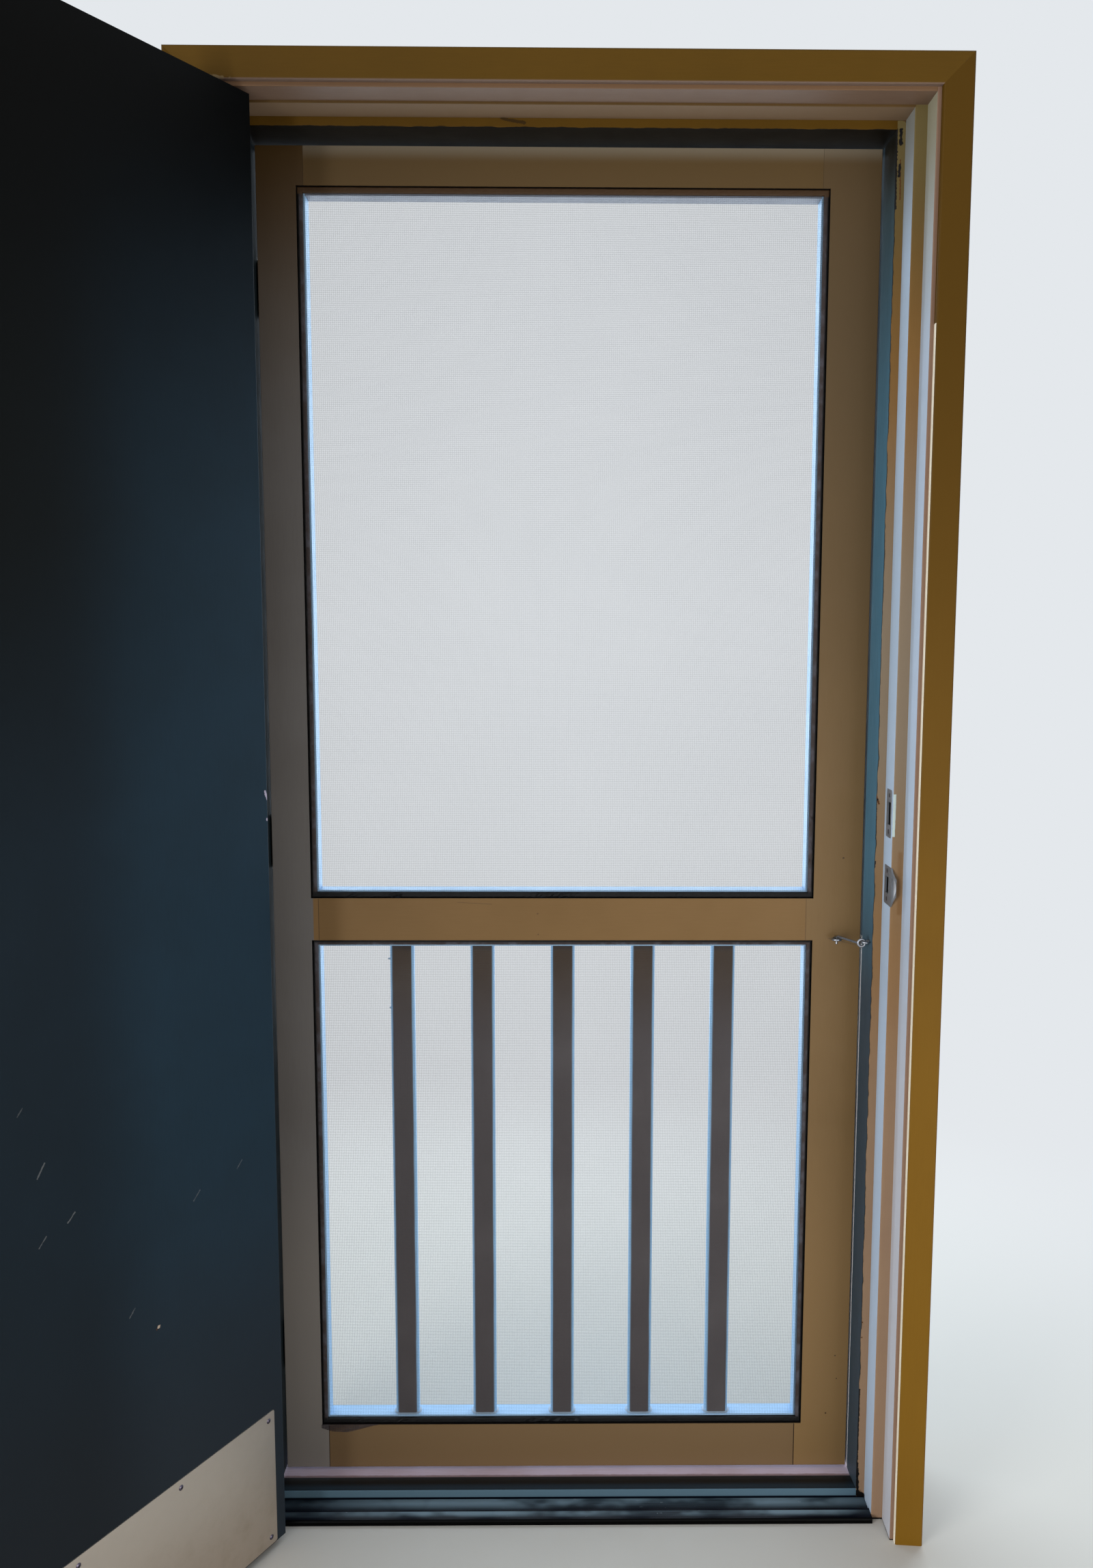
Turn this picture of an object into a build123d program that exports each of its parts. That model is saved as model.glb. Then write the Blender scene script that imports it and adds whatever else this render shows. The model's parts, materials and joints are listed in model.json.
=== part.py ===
from build123d import *
import math
import os

# Doorway set: a painted timber screen door and a flush entry door in one frame.
# Millimetres. X runs to the right seen from the room, Y runs outwards, Z up.
# The origin is on the floor line, midway between the stops, in the plane of the
# stop faces that the entry door closes against.

# Frame
CLEAR_WIDTH = 900.0          # between the stops
CLEAR_HEIGHT = 2029.0        # floor line to the underside of the head stop
STOP_STEP = 12.5             # how far the stops stand in from the rabbet faces
RABBET_DEPTH = 46.0          # rabbet that takes the entry door
JAMB_BACK = 30.0             # wood behind the rabbet faces
ARRIS = 1.2                  # worn edge radius of the painted frame timber
EXT_DEPTH = 44.0             # extension jambs, between the jambs and the casing
EXT_THICK = 18.0
EXT_STEP = 17.0              # the side extensions stand back by this
HEAD_EXT_STEP = 3.0          # the head extension stands back by less
CASING_WIDTH = 40.0
CASING_REVEAL = 5.4
CASING_EDGE = 9.5            # casing thickness at its inner edge
CASING_BACK = 13.0           # and at its outer edge
CASING_ROUND = 3.0
TRIM_WIDTH = 57.0            # outdoor trim
TRIM_THICK = 19.0
TRIM_REVEAL = 15.0
TRIM_ROUND = 4.0

# Sill and threshold
NOSING_OUT = 9.6             # nosing beyond the room edge of the jambs
NOSING_WIDTH = 23.0
NOSING_HEIGHT = 8.0
NOSING_ROUND = 3.5
GROOVE_HEIGHT = 3.0
SILL_DEPTH = 41.0
SILL_HEIGHT = 16.2
SILL_FALL = 7.5              # slope of the sill's top, over its depth
OUTER_SILL_DROP = 0.7        # the outer board starts this much below the sill's back edge
OUTER_SILL_FALL = 2.6
OUTER_SILL_OUT = 24.0        # outer board beyond the outdoor face of the jambs
OUTER_SILL_ROUND = 2.0

# Screen door
SCREEN_SETBACK = 62.4        # stop face to the screen door's room face
SCREEN_THICK = 35.0
SCREEN_SIDE_GAP = 3.0
SCREEN_TOP_GAP = 2.7
SCREEN_FLOOR_GAP = 11.5
HINGE_STILE = 68.0
LOCK_STILE = 84.0
TOP_RAIL = 65.0
MID_RAIL = 87.0
MID_RAIL_Z = 862.0           # underside of the middle rail above the floor line
BOTTOM_RAIL = 82.5
MEMBER_ARRIS = 1.0
TENON_THICK = 12.0           # rail tenons, glued into the stiles
TENON_LENGTH = 38.0
TENON_SHOULDER = 12.0        # how much lower a tenon is than its rail, each side
LEDGE = 11.0                 # width of the rebate that holds the mesh
LEDGE_DEPTH = 9.0
MESH_THICK = 0.4
MESH_MARGIN = 1.0
SPLINE_WIDTH = 8.0
SPLINE_DEPTH = 5.0
SPLINE_GAP = 0.4
BALUSTER_COUNT = 5
BALUSTER_WIDTH = 37.0
BALUSTER_DEPTH = 20.0
BALUSTER_ROUND = 7.0
BALUSTER_BACK = 3.0          # from the outdoor face of the door
PULL_HEIGHT = 1010.0
PULL_LENGTH = 150.0
PULL_STAND = 34.0
PULL_ROD_R = 5.0
PULL_BEND = 17.0
PULL_FOOT_R = 12.0
PULL_FOOT_THICK = 3.0

# Entry door
LEAF_THICK = 44.5
LEAF_SIDE_GAP = 3.0
LEAF_TOP_GAP = 3.2
LEAF_STOP_GAP = 1.5
LEAF_FLOOR_GAP = 1.5         # above the threshold's nosing
LEAF_ARRIS = 1.5
OPEN_ANGLE = 121.0           # how far the entry door stands open
KICK_HEIGHT = 205.0
KICK_THICK = 1.2
KICK_SIDE = 19.0             # bare door beside the kick plate
KICK_BOTTOM = 2.0

# Locks
BACKSET = 60.0
KNOB_HEIGHT = 978.0
BOLT_SPACING = 104.5         # dead bolt above the knob
CROSS_BORE_R = 27.0
ROSE_R = 33.0
ROSE_THICK = 7.0
ROSE_RIM = 2.5               # thickness at the rim, before the slope
ROSE_FACE_R = 26.5
NECK_R = 12.0
NECK_CLEAR = 0.3
KNOB_R = 27.0
KNOB_FACE_R = 23.0
KNOB_DOME = 3.0
KNOB_STAND = 56.0            # top of the knob above the face of the door
KNOB_DEPTH = 30.0            # from the crown back to the neck
KNOB_BELLY = 14.0            # from the crown back to the widest ring
KNOB_FOOT = 0.5              # the neck's end above the face of the door
SPINDLE = 8.0
SPINDLE_HOLD = 14.0
CAM_CLEAR = 1.0              # bolt head to the spindle's corner when drawn back
FORK_CLEAR = 0.6             # fork to the corner of what turns in it
PLATE_WIDTH = 25.0
PLATE_HEIGHT = 57.0
PLATE_THICK = 2.4
PLATE_ROUND = 3.0
LATCH_TUBE_R = 12.0
LATCH_W = 13.0
LATCH_H = 17.0
LATCH_OUT = 11.5
LATCH_NOSE = 2.0             # flat left at the tip of the bevel
LATCH_TAIL = 10.0            # the fork's prongs reach this far past the spindle
BOLT_TUBE_R = 13.5
BOLT_W = 14.0
BOLT_H = 19.0
BOLT_THROW = 25.0
SLIDE_CLEAR = 0.3
TAIL_W = 6.0
TAIL_WALL = 2.4
CYLINDER_R = 28.0
CYLINDER_STAND = 16.0
CYLINDER_RIM = 6.4
CYLINDER_FACE_R = 20.0
PLUG_R = 8.0
PLUG_PROUD = 2.0
KEY_SLOT = 9.0
KEY_SLOT_WIDTH = 2.0
KEY_SLOT_DEPTH = 8.0
TURN_PLATE_R = 28.0
TURN_PLATE_THICK = 9.0
TURN_PLATE_RIM = 4.5
TURN_PLATE_FACE_R = 22.5
TURN_NECK_R = 7.0
TURN_LIFT = 2.0              # wing above its plate
TURN_LENGTH = 36.0
TURN_WIDTH = 11.0
TURN_RISE = 13.0
TURN_BAR = 6.0
TURN_BAR_THICK = 2.0
TURN_BAR_END = 2.0           # the bar stops short of the outdoor face

# Strikes in the latch-side jamb
STRIKE_THICK = 1.6
STRIKE_WIDTH = 28.0
BOLT_STRIKE_HEIGHT = 70.0
LATCH_STRIKE_HEIGHT = 57.0
BOLT_SLOT_W = 16.0           # openings in the strikes, across the jamb and upright
BOLT_SLOT_H = 33.0
LATCH_SLOT_W = 16.0
LATCH_SLOT_H = 24.0
POCKET_DEPTH = 27.5
LIP_R = 7.0                  # curl of the lip, inside
LIP_TURN = 70.0              # how far it curls, in degrees

# Butt hinges of the entry door
HINGE_TALL = 100.0
HINGE_PLATE = 36.0
HINGE_PLATE_THICK = 2.8
BARREL_R = 6.2
HINGE_PIN_R = 3.4
KNUCKLES = 5
KNUCKLE_GAP = 0.2
PIN_CLEAR = 0.05
BARREL_OFF = 6.5             # pin axis to the room face of the closed door
HINGE_TOP = 178.0            # top of the door to the top of the upper hinge
HINGE_BOTTOM = 260.0
PIN_TIP = 3.0
PIN_HEAD_STEP = 1.2          # button head smaller than the barrel by this

# Hinges of the screen door
SCREEN_HINGE_TALL = 76.0
SCREEN_HINGE_PLATE = 24.0
SCREEN_PLATE_THICK = 1.8
SCREEN_BARREL_R = 4.7
SCREEN_PIN_R = 2.4
SCREEN_KNUCKLES = 3
SCREEN_BARREL_OFF = 5.2
SCREEN_HINGE_END = 150.0

# Hook and eyes
HOOK_HEIGHT = 883.0
WIRE_R = 1.8
EYE_WIRE_R = 1.8
EYE_R = 5.5                  # centreline radius of the jamb eye's ring
EYE_BACK = 14.0              # jamb eye behind the stop face
EYE_STAND = 7.0              # ring centre in front of the jamb face
SHANK_IN = 16.0
LOOP_R = 5.4                 # centreline radius of the hook's own loop
LOOP_GAP = 0.3
STILE_EYE_X = 39.0           # stile eye in from the lock edge of the door
STILE_EYE_R = 6.2
STILE_EYE_OFF = 13.0
STILE_EYE_DROP = 5.0
TIP_LENGTH = 12.0
TIP_BEND = 4.0

# Derived lines of the frame
STOP_X = CLEAR_WIDTH / 2
RABBET_X = STOP_X + STOP_STEP
BACK_X = RABBET_X + JAMB_BACK
HEAD_STOP_Z = CLEAR_HEIGHT
HEAD_RABBET_Z = CLEAR_HEIGHT + STOP_STEP
HEAD_BACK_Z = HEAD_RABBET_Z + JAMB_BACK
ROOM_Y = -RABBET_DEPTH
OUT_Y = SCREEN_SETBACK + SCREEN_THICK
SILL_BACK_Z = SILL_HEIGHT - SILL_FALL
EXT_Y = ROOM_Y - EXT_DEPTH
EXT_X = RABBET_X + EXT_STEP
EXT_Z = HEAD_RABBET_Z + HEAD_EXT_STEP
CASING_X = EXT_X + CASING_REVEAL
CASING_Z = EXT_Z + CASING_REVEAL
TRIM_X = STOP_X + TRIM_REVEAL
TRIM_Z = HEAD_STOP_Z + TRIM_REVEAL

# Derived lines of the entry door, drawn closed
LEAF_X = RABBET_X - LEAF_SIDE_GAP
LEAF_OUT_Y = -LEAF_STOP_GAP
LEAF_IN_Y = LEAF_OUT_Y - LEAF_THICK
LEAF_MID_Y = (LEAF_OUT_Y + LEAF_IN_Y) / 2
LEAF_Z0 = NOSING_HEIGHT + LEAF_FLOOR_GAP
LEAF_Z1 = HEAD_RABBET_Z - LEAF_TOP_GAP
PIN_X = -(RABBET_X + LEAF_X) / 2
PIN_Y = LEAF_IN_Y - BARREL_OFF
LOCK_X = LEAF_X - BACKSET
SPINDLE_CORNER = SPINDLE / math.sqrt(2)
TURN_BAR_CORNER = math.hypot(TURN_BAR, TURN_BAR_THICK) / 2
TUBE_LENGTH = BACKSET - SPINDLE_CORNER - LATCH_OUT - CAM_CLEAR
BOLT_HEIGHT = KNOB_HEIGHT + BOLT_SPACING
LIP_REACH = (LIP_R + STRIKE_THICK) * math.sin(math.radians(LIP_TURN))
LIP_ARC_R = ((LATCH_STRIKE_HEIGHT / 2) ** 2 + LIP_REACH ** 2) / (2 * LIP_REACH)

# Derived lines of the screen door
SCREEN_X = STOP_X - SCREEN_SIDE_GAP
SCREEN_Z0 = SCREEN_FLOOR_GAP
SCREEN_Z1 = HEAD_STOP_Z - SCREEN_TOP_GAP
OPEN_X0 = -SCREEN_X + HINGE_STILE
OPEN_X1 = SCREEN_X - LOCK_STILE
LOWER_Z = (SCREEN_Z0 + BOTTOM_RAIL, MID_RAIL_Z)
UPPER_Z = (MID_RAIL_Z + MID_RAIL, SCREEN_Z1 - TOP_RAIL)
SCREEN_PIN_X = -(STOP_X + SCREEN_X) / 2
SCREEN_PIN_Y = OUT_Y + SCREEN_BARREL_OFF

UP = Vector(0, 0, 1)
LEFT = Vector(-1, 0, 0)
RIGHT = Vector(1, 0, 0)
ROOM = Vector(0, -1, 0)
OUT = Vector(0, 1, 0)


def box(x, y, z):
    """A block between the given pairs of coordinates."""
    centre = [(a + b) / 2 for a, b in (x, y, z)]
    return Pos(*centre) * Box(*[abs(b - a) for a, b in (x, y, z)])


def about(middle, width):
    """The pair of coordinates of a width that is centred on a line."""
    return (middle - width / 2, middle + width / 2)


def run(outline, origin, across, up, length):
    """A bar: an outline drawn on the plane of two directions, run square to it."""
    normal = across.cross(up)
    plane = Plane(origin=origin, x_dir=across, z_dir=normal)
    return extrude(plane * outline, amount=length)


def polygon(points, rounds=()):
    """A closed outline through points, with the listed corners rounded."""
    face = make_face(Polyline(*points, close=True))
    for index, radius in rounds:
        corner = face.vertices().sort_by_distance(Vector(*points[index]))[0]
        face = fillet(corner, radius)
    return face


def rod(start, end, radius):
    """A round bar between two points."""
    start, end = Vector(*start), Vector(*end)
    axis = end - start
    plane = Plane(origin=start, z_dir=axis.normalized())
    return extrude(plane * Circle(radius), amount=axis.length)


def mirror_x(shape):
    return mirror(shape, about=Plane.YZ)


def swing(shape):
    """Turns what belongs to the entry door from closed to where it stands open."""
    return shape.rotate(Axis((PIN_X, PIN_Y, 0), (0, 0, 1)), -OPEN_ANGLE)


def rabbeted_outline(stop, rabbet, back):
    """Section of a rabbeted jamb: the stop, the rabbet and the solid back."""
    points = [(stop, 0), (rabbet, 0), (rabbet, ROOM_Y), (back, ROOM_Y), (back, OUT_Y), (stop, OUT_Y)]
    return polygon(points, [(0, ARRIS), (2, ARRIS), (5, ARRIS)])


def plain_jamb():
    """The latch-side jamb before its mortises."""
    outline = rabbeted_outline(STOP_X, RABBET_X, BACK_X)
    return extrude(outline, amount=HEAD_BACK_Z)


def jamb_left():
    jamb = mirror_x(plain_jamb())
    for z in entry_hinge_heights():
        jamb -= box((-RABBET_X - HINGE_PLATE_THICK, -RABBET_X + 1),
                    (ROOM_Y - 1, ROOM_Y + HINGE_PLATE), (z, z + HINGE_TALL))
    for z in screen_hinge_heights():
        jamb -= box((-STOP_X - SCREEN_PLATE_THICK, -STOP_X + 1),
                    (OUT_Y - SCREEN_HINGE_PLATE, OUT_Y + 1), (z, z + SCREEN_HINGE_TALL))
    return jamb


def jamb_right():
    jamb = plain_jamb()
    jamb -= strike_blank(BOLT_HEIGHT, BOLT_STRIKE_HEIGHT)
    jamb -= strike_blank(KNOB_HEIGHT, LATCH_STRIKE_HEIGHT)
    jamb -= lip_cutter()
    jamb -= bolt_cut(BOLT_HEIGHT, BOLT_SLOT_W, BOLT_SLOT_H, 0, POCKET_DEPTH)
    jamb -= bolt_cut(KNOB_HEIGHT, LATCH_SLOT_W, LATCH_SLOT_H, 0, POCKET_DEPTH)
    return jamb - jamb_eye_shank(STOP_X)


def jamb_head():
    """The head runs between the side jambs and is coped over their stops."""
    across = -BACK_X
    outline = polygon([(0, HEAD_STOP_Z), (0, HEAD_RABBET_Z), (ROOM_Y, HEAD_RABBET_Z),
                       (ROOM_Y, HEAD_BACK_Z), (OUT_Y, HEAD_BACK_Z), (OUT_Y, HEAD_STOP_Z)],
                      [(0, ARRIS), (2, ARRIS), (5, ARRIS)])
    head = run(outline, (across, 0, 0), OUT, UP, 2 * BACK_X)
    return head - plain_jamb() - mirror_x(plain_jamb())


def extension_right():
    back = EXT_X + EXT_THICK
    outline = polygon([(EXT_X, ROOM_Y), (EXT_X, EXT_Y), (back, EXT_Y), (back, ROOM_Y)], [(1, ARRIS)])
    return extrude(outline, amount=EXT_Z + EXT_THICK)


def extension_head():
    back = EXT_Z + EXT_THICK
    outline = polygon([(ROOM_Y, EXT_Z), (EXT_Y, EXT_Z), (EXT_Y, back), (ROOM_Y, back)], [(1, ARRIS)])
    return run(outline, (-EXT_X, 0, 0), OUT, UP, 2 * EXT_X)


def casing_outline():
    """Section of the casing: across its width, then away from the wall."""
    points = [(0, 0), (0, CASING_EDGE), (CASING_WIDTH, CASING_BACK), (CASING_WIDTH, 0)]
    return polygon(points, [(1, CASING_ROUND), (2, CASING_ROUND)])


def mitre_plane(x, z, side):
    """The mitre runs out and up at 45 degrees from the inner corner."""
    return Plane(origin=(side * x, 0, z), x_dir=(0, 1, 0), z_dir=(-side, 0, 1))


def cut_mitre(board, x, z, side, keep):
    return split(board, bisect_by=mitre_plane(x, z, side), keep=keep)


def casing_right():
    leg = run(casing_outline(), (CASING_X, EXT_Y, 0), RIGHT, ROOM, -(CASING_Z + CASING_WIDTH))
    return cut_mitre(leg, CASING_X, CASING_Z, 1, Keep.BOTTOM)


def casing_head():
    end = CASING_X + CASING_WIDTH
    board = run(casing_outline(), (-end, EXT_Y, CASING_Z), UP, ROOM, 2 * end)
    for side in (1, -1):
        board = cut_mitre(board, CASING_X, CASING_Z, side, Keep.TOP)
    return board


def trim_outline():
    points = [(0, 0), (0, TRIM_THICK), (TRIM_WIDTH, TRIM_THICK), (TRIM_WIDTH, 0)]
    return polygon(points, [(1, TRIM_ROUND), (2, TRIM_ROUND)])


def trim_right():
    leg = run(trim_outline(), (TRIM_X, OUT_Y, 0), RIGHT, OUT, TRIM_Z + TRIM_WIDTH)
    return cut_mitre(leg, TRIM_X, TRIM_Z, 1, Keep.BOTTOM)


def trim_head():
    end = TRIM_X + TRIM_WIDTH
    board = run(trim_outline(), (end, OUT_Y, TRIM_Z), UP, OUT, 2 * end)
    for side in (1, -1):
        board = cut_mitre(board, TRIM_X, TRIM_Z, side, Keep.TOP)
    return board


def threshold():
    """Threshold board: a rounded nosing, a shallow groove, and the seat of the sill."""
    front = ROOM_Y - NOSING_OUT
    back = front + NOSING_WIDTH
    fall = NOSING_HEIGHT - GROOVE_HEIGHT
    points = [(front, 0), (front, NOSING_HEIGHT), (back, NOSING_HEIGHT), (back + fall, GROOVE_HEIGHT),
              (SILL_DEPTH, GROOVE_HEIGHT), (SILL_DEPTH, 0)]
    outline = polygon(points, [(1, NOSING_ROUND), (2, NOSING_ROUND / 2)])
    board = run(outline, (-RABBET_X, 0, 0), OUT, UP, 2 * RABBET_X)
    return board - plain_jamb() - mirror_x(plain_jamb())


def sill():
    """Raised sill on the threshold, between the stops; the closed door meets its face."""
    low = GROOVE_HEIGHT
    points = [(0, low), (0, SILL_HEIGHT), (SILL_DEPTH, SILL_BACK_Z), (SILL_DEPTH, low)]
    outline = polygon(points, [(1, ARRIS), (2, ARRIS)])
    return run(outline, (-STOP_X, 0, 0), OUT, UP, 2 * STOP_X)


def outer_sill():
    """Sloped board between the jambs, below the screen door and out past it."""
    top, front = SILL_BACK_Z - OUTER_SILL_DROP, OUT_Y + OUTER_SILL_OUT
    points = [(SILL_DEPTH, 0), (SILL_DEPTH, top), (front, top - OUTER_SILL_FALL), (front, 0)]
    outline = polygon(points, [(2, OUTER_SILL_ROUND)])
    return run(outline, (-STOP_X, 0, 0), OUT, UP, 2 * STOP_X)


def strike_blank(z, height):
    """Flat plate let flush into the rabbet face."""
    outline = RectangleRounded(STRIKE_WIDTH, height, PLATE_ROUND)
    return run(outline, (RABBET_X, LEAF_MID_Y, z), OUT, UP, STRIKE_THICK)


def bolt_cut(z, width, height, near, depth):
    """Opening that a bolt enters, from the rabbet face inwards."""
    return box((RABBET_X - near, RABBET_X + depth), about(LEAF_MID_Y, width), about(z, height))


def deadbolt_strike():
    plate = strike_blank(BOLT_HEIGHT, BOLT_STRIKE_HEIGHT)
    return plate - bolt_cut(BOLT_HEIGHT, BOLT_SLOT_W, BOLT_SLOT_H, 1, STRIKE_THICK)


def lip_start():
    """Where the lip's flat part joins the plate, behind the plate's rounded corners."""
    return about(LEAF_MID_Y, STRIKE_WIDTH)[0] + PLATE_ROUND


def lip_outline():
    """The lip seen from above: flat across the jamb, then curled back round its room edge."""
    edge = lip_start()
    x0, x1 = RABBET_X, RABBET_X + STRIKE_THICK
    centre = (x1 + LIP_R, ROOM_Y)
    inner = CenterArc(centre, LIP_R, 180, LIP_TURN)
    outer = CenterArc(centre, LIP_R + STRIKE_THICK, 180, LIP_TURN)
    return make_face([Line((x0, edge), (x1, edge)), Line((x1, edge), inner @ 0), inner,
                      Line(inner @ 1, outer @ 1), outer, Line(outer @ 0, (x0, edge))])


def lip():
    """The lip is as tall as its plate; seen from the side, its curl ends in one arc."""
    low = KNOB_HEIGHT - LATCH_STRIKE_HEIGHT / 2
    body = Pos(0, 0, low) * extrude(lip_outline(), amount=LATCH_STRIKE_HEIGHT)
    y = ROOM_Y - LIP_REACH + LIP_ARC_R
    return body & rod((RABBET_X - 1, y, KNOB_HEIGHT), (BACK_X, y, KNOB_HEIGHT), LIP_ARC_R)


def lip_cutter():
    """Shallow recess that the lip's flat part lies in, as far as the jamb's edge."""
    depth = (ROOM_Y - 1, lip_start())
    return box((RABBET_X - 1, RABBET_X + STRIKE_THICK), depth, about(KNOB_HEIGHT, LATCH_STRIKE_HEIGHT))


def latch_strike():
    plate = strike_blank(KNOB_HEIGHT, LATCH_STRIKE_HEIGHT) + lip()
    return plate - bolt_cut(KNOB_HEIGHT, LATCH_SLOT_W, LATCH_SLOT_H, 1, STRIKE_THICK)


def entry_hinge_heights():
    top = LEAF_Z1 - HINGE_TOP - HINGE_TALL
    bottom = LEAF_Z0 + HINGE_BOTTOM
    return [bottom, (top + bottom) / 2, top]


def screen_hinge_heights():
    top = SCREEN_Z1 - SCREEN_HINGE_END - SCREEN_HINGE_TALL
    bottom = SCREEN_Z0 + SCREEN_HINGE_END
    return [bottom, (top + bottom) / 2, top]


def hinge_leaf(pin, face_x, side, reach, toward, z, tall, thick, barrel, pin_r, knuckles, own):
    """One leaf of a butt hinge: a plate let into an edge and its own knuckles.

    face_x is the edge face, side the way into the wood, reach how far the plate
    runs from the barrel side, toward the direction of that run in Y.
    """
    edge_y = pin[1] + toward * reach[0]
    plate = box((face_x, face_x + side * thick), (edge_y, edge_y + toward * reach[1]), (z, z + tall))
    pitch = tall / knuckles
    for index in range(knuckles):
        if index % 2 != own:
            continue
        low = z + index * pitch + KNUCKLE_GAP / 2
        high = z + (index + 1) * pitch - KNUCKLE_GAP / 2
        plate += rod((*pin, low), (*pin, high), barrel)
        plate += box((face_x, face_x + side * thick), (pin[1], edge_y), (low, high))
    return plate - rod((*pin, z - 1), (*pin, z + tall + 1), pin_r + PIN_CLEAR)


def entry_jamb_leaf(z):
    reach = (ROOM_Y - PIN_Y, HINGE_PLATE)
    return hinge_leaf((PIN_X, PIN_Y), -RABBET_X, -1, reach, 1, z, HINGE_TALL, HINGE_PLATE_THICK,
                      BARREL_R, HINGE_PIN_R, KNUCKLES, 0)


def entry_door_leaf(z):
    reach = (BARREL_OFF, HINGE_PLATE)
    return hinge_leaf((PIN_X, PIN_Y), -LEAF_X, 1, reach, 1, z, HINGE_TALL, HINGE_PLATE_THICK,
                      BARREL_R, HINGE_PIN_R, KNUCKLES, 1)


def hinge_pin(pin, z, tall, radius, barrel):
    """Loose pin with a button head that rests on the top knuckle."""
    body = rod((*pin, z - PIN_TIP), (*pin, z + tall), radius)
    body += rod((*pin, z + tall), (*pin, z + tall + PIN_TIP), barrel - PIN_HEAD_STEP)
    return fillet(body.edges().filter_by(GeomType.CIRCLE).group_by(Axis.Z)[-1], PIN_TIP / 3)


def screen_jamb_leaf(z):
    reach = (SCREEN_BARREL_OFF, SCREEN_HINGE_PLATE)
    return hinge_leaf((SCREEN_PIN_X, SCREEN_PIN_Y), -STOP_X, -1, reach, -1, z, SCREEN_HINGE_TALL,
                      SCREEN_PLATE_THICK, SCREEN_BARREL_R, SCREEN_PIN_R, SCREEN_KNUCKLES, 0)


def screen_door_leaf(z):
    reach = (SCREEN_BARREL_OFF, SCREEN_HINGE_PLATE)
    return hinge_leaf((SCREEN_PIN_X, SCREEN_PIN_Y), -SCREEN_X, 1, reach, -1, z, SCREEN_HINGE_TALL,
                      SCREEN_PLATE_THICK, SCREEN_BARREL_R, SCREEN_PIN_R, SCREEN_KNUCKLES, 1)


def edge_plate(z):
    """Face plate of a bolt, let flush into the free edge of the entry door."""
    outline = RectangleRounded(PLATE_WIDTH, PLATE_HEIGHT, PLATE_ROUND)
    return run(outline, (LEAF_X - PLATE_THICK, LEAF_MID_Y, z), OUT, UP, PLATE_THICK)


def along_edge(z, radius, start, end):
    """Round bar square to the free edge, measured inwards from it."""
    return rod((LEAF_X - start, LEAF_MID_Y, z), (LEAF_X - end, LEAF_MID_Y, z), radius)


def through_leaf(z, radius, extra=0.0):
    return rod((LOCK_X, LEAF_IN_Y - extra, z), (LOCK_X, LEAF_OUT_Y + extra, z), radius)


def entry_leaf():
    """Flush slab with its lock bores, face-plate recesses and hinge recesses."""
    corners = [(-LEAF_X, LEAF_IN_Y), (LEAF_X, LEAF_IN_Y), (LEAF_X, LEAF_OUT_Y), (-LEAF_X, LEAF_OUT_Y)]
    outline = polygon(corners, [(i, LEAF_ARRIS) for i in range(4)])
    leaf = Pos(0, 0, LEAF_Z0) * extrude(outline, amount=LEAF_Z1 - LEAF_Z0)
    for z, tube in ((KNOB_HEIGHT, LATCH_TUBE_R), (BOLT_HEIGHT, BOLT_TUBE_R)):
        leaf -= through_leaf(z, CROSS_BORE_R, 1)
        leaf -= along_edge(z, tube, -1, BACKSET + CROSS_BORE_R + BOLT_THROW)
        leaf -= edge_plate(z)
    depth = (LEAF_IN_Y - 1, LEAF_IN_Y + HINGE_PLATE)
    for z in entry_hinge_heights():
        leaf -= box((-LEAF_X - 1, -LEAF_X + HINGE_PLATE_THICK), depth, (z, z + HINGE_TALL))
    return leaf


def kick_plate():
    outline = RectangleRounded(2 * (LEAF_X - KICK_SIDE), KICK_HEIGHT, PLATE_ROUND)
    z = LEAF_Z0 + KICK_BOTTOM + KICK_HEIGHT / 2
    return run(outline, (0, LEAF_OUT_Y, z), LEFT, UP, KICK_THICK)


def bolt_tube(z, radius, width, height):
    """Face plate and guide tube, one staked piece, with the bolt's channel."""
    grow = 2 * SLIDE_CLEAR
    ends = (LEAF_X - TUBE_LENGTH - 1, LEAF_X + 1)
    tube = edge_plate(z) + along_edge(z, radius, PLATE_THICK / 2, TUBE_LENGTH)
    return tube - box(ends, about(LEAF_MID_Y, width + grow), about(z, height + grow))


def forked_bolt(z, width, height, front, back, slot):
    """A bolt whose tail is forked round what turns in it; slot is the fork's gap."""
    head_back = LEAF_X - TUBE_LENGTH
    bolt = box((head_back, front), about(LEAF_MID_Y, width), about(z, height))
    tail = box((back, head_back), about(LEAF_MID_Y, TAIL_W), about(z, slot + 2 * TAIL_WALL))
    return bolt + (tail - box((back - 1, head_back), about(LEAF_MID_Y, 2 * TAIL_W), about(z, slot)))


def latch_bolt():
    """Sprung latch, bevelled on the side that meets the strike first."""
    front = LEAF_X + LATCH_OUT
    back = LOCK_X - SPINDLE_CORNER - LATCH_TAIL
    gap = 2 * (SPINDLE_CORNER + FORK_CLEAR)
    bolt = forked_bolt(KNOB_HEIGHT, LATCH_W, LATCH_H, front, back, gap)
    low, high = about(LEAF_MID_Y, LATCH_W)
    bevel = polygon([(LEAF_X, high), (front, low + LATCH_NOSE), (front, high)])
    return bolt - Pos(0, 0, KNOB_HEIGHT - LATCH_H / 2) * extrude(bevel, amount=LATCH_H)


def dead_bolt():
    """Square bolt, drawn level with the edge of the door."""
    back = LOCK_X - BOLT_THROW - TURN_BAR
    return forked_bolt(BOLT_HEIGHT, BOLT_W, BOLT_H, LEAF_X, back, 2 * (TURN_BAR_CORNER + FORK_CLEAR))


def stepped_disc(radius, rim, face_r, thick, bore):
    """Half section of a round plate: a straight rim, a slope, a flat face and a bore."""
    return polygon([(bore, 0), (radius, 0), (radius, rim), (face_r, thick), (bore, thick)])


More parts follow.
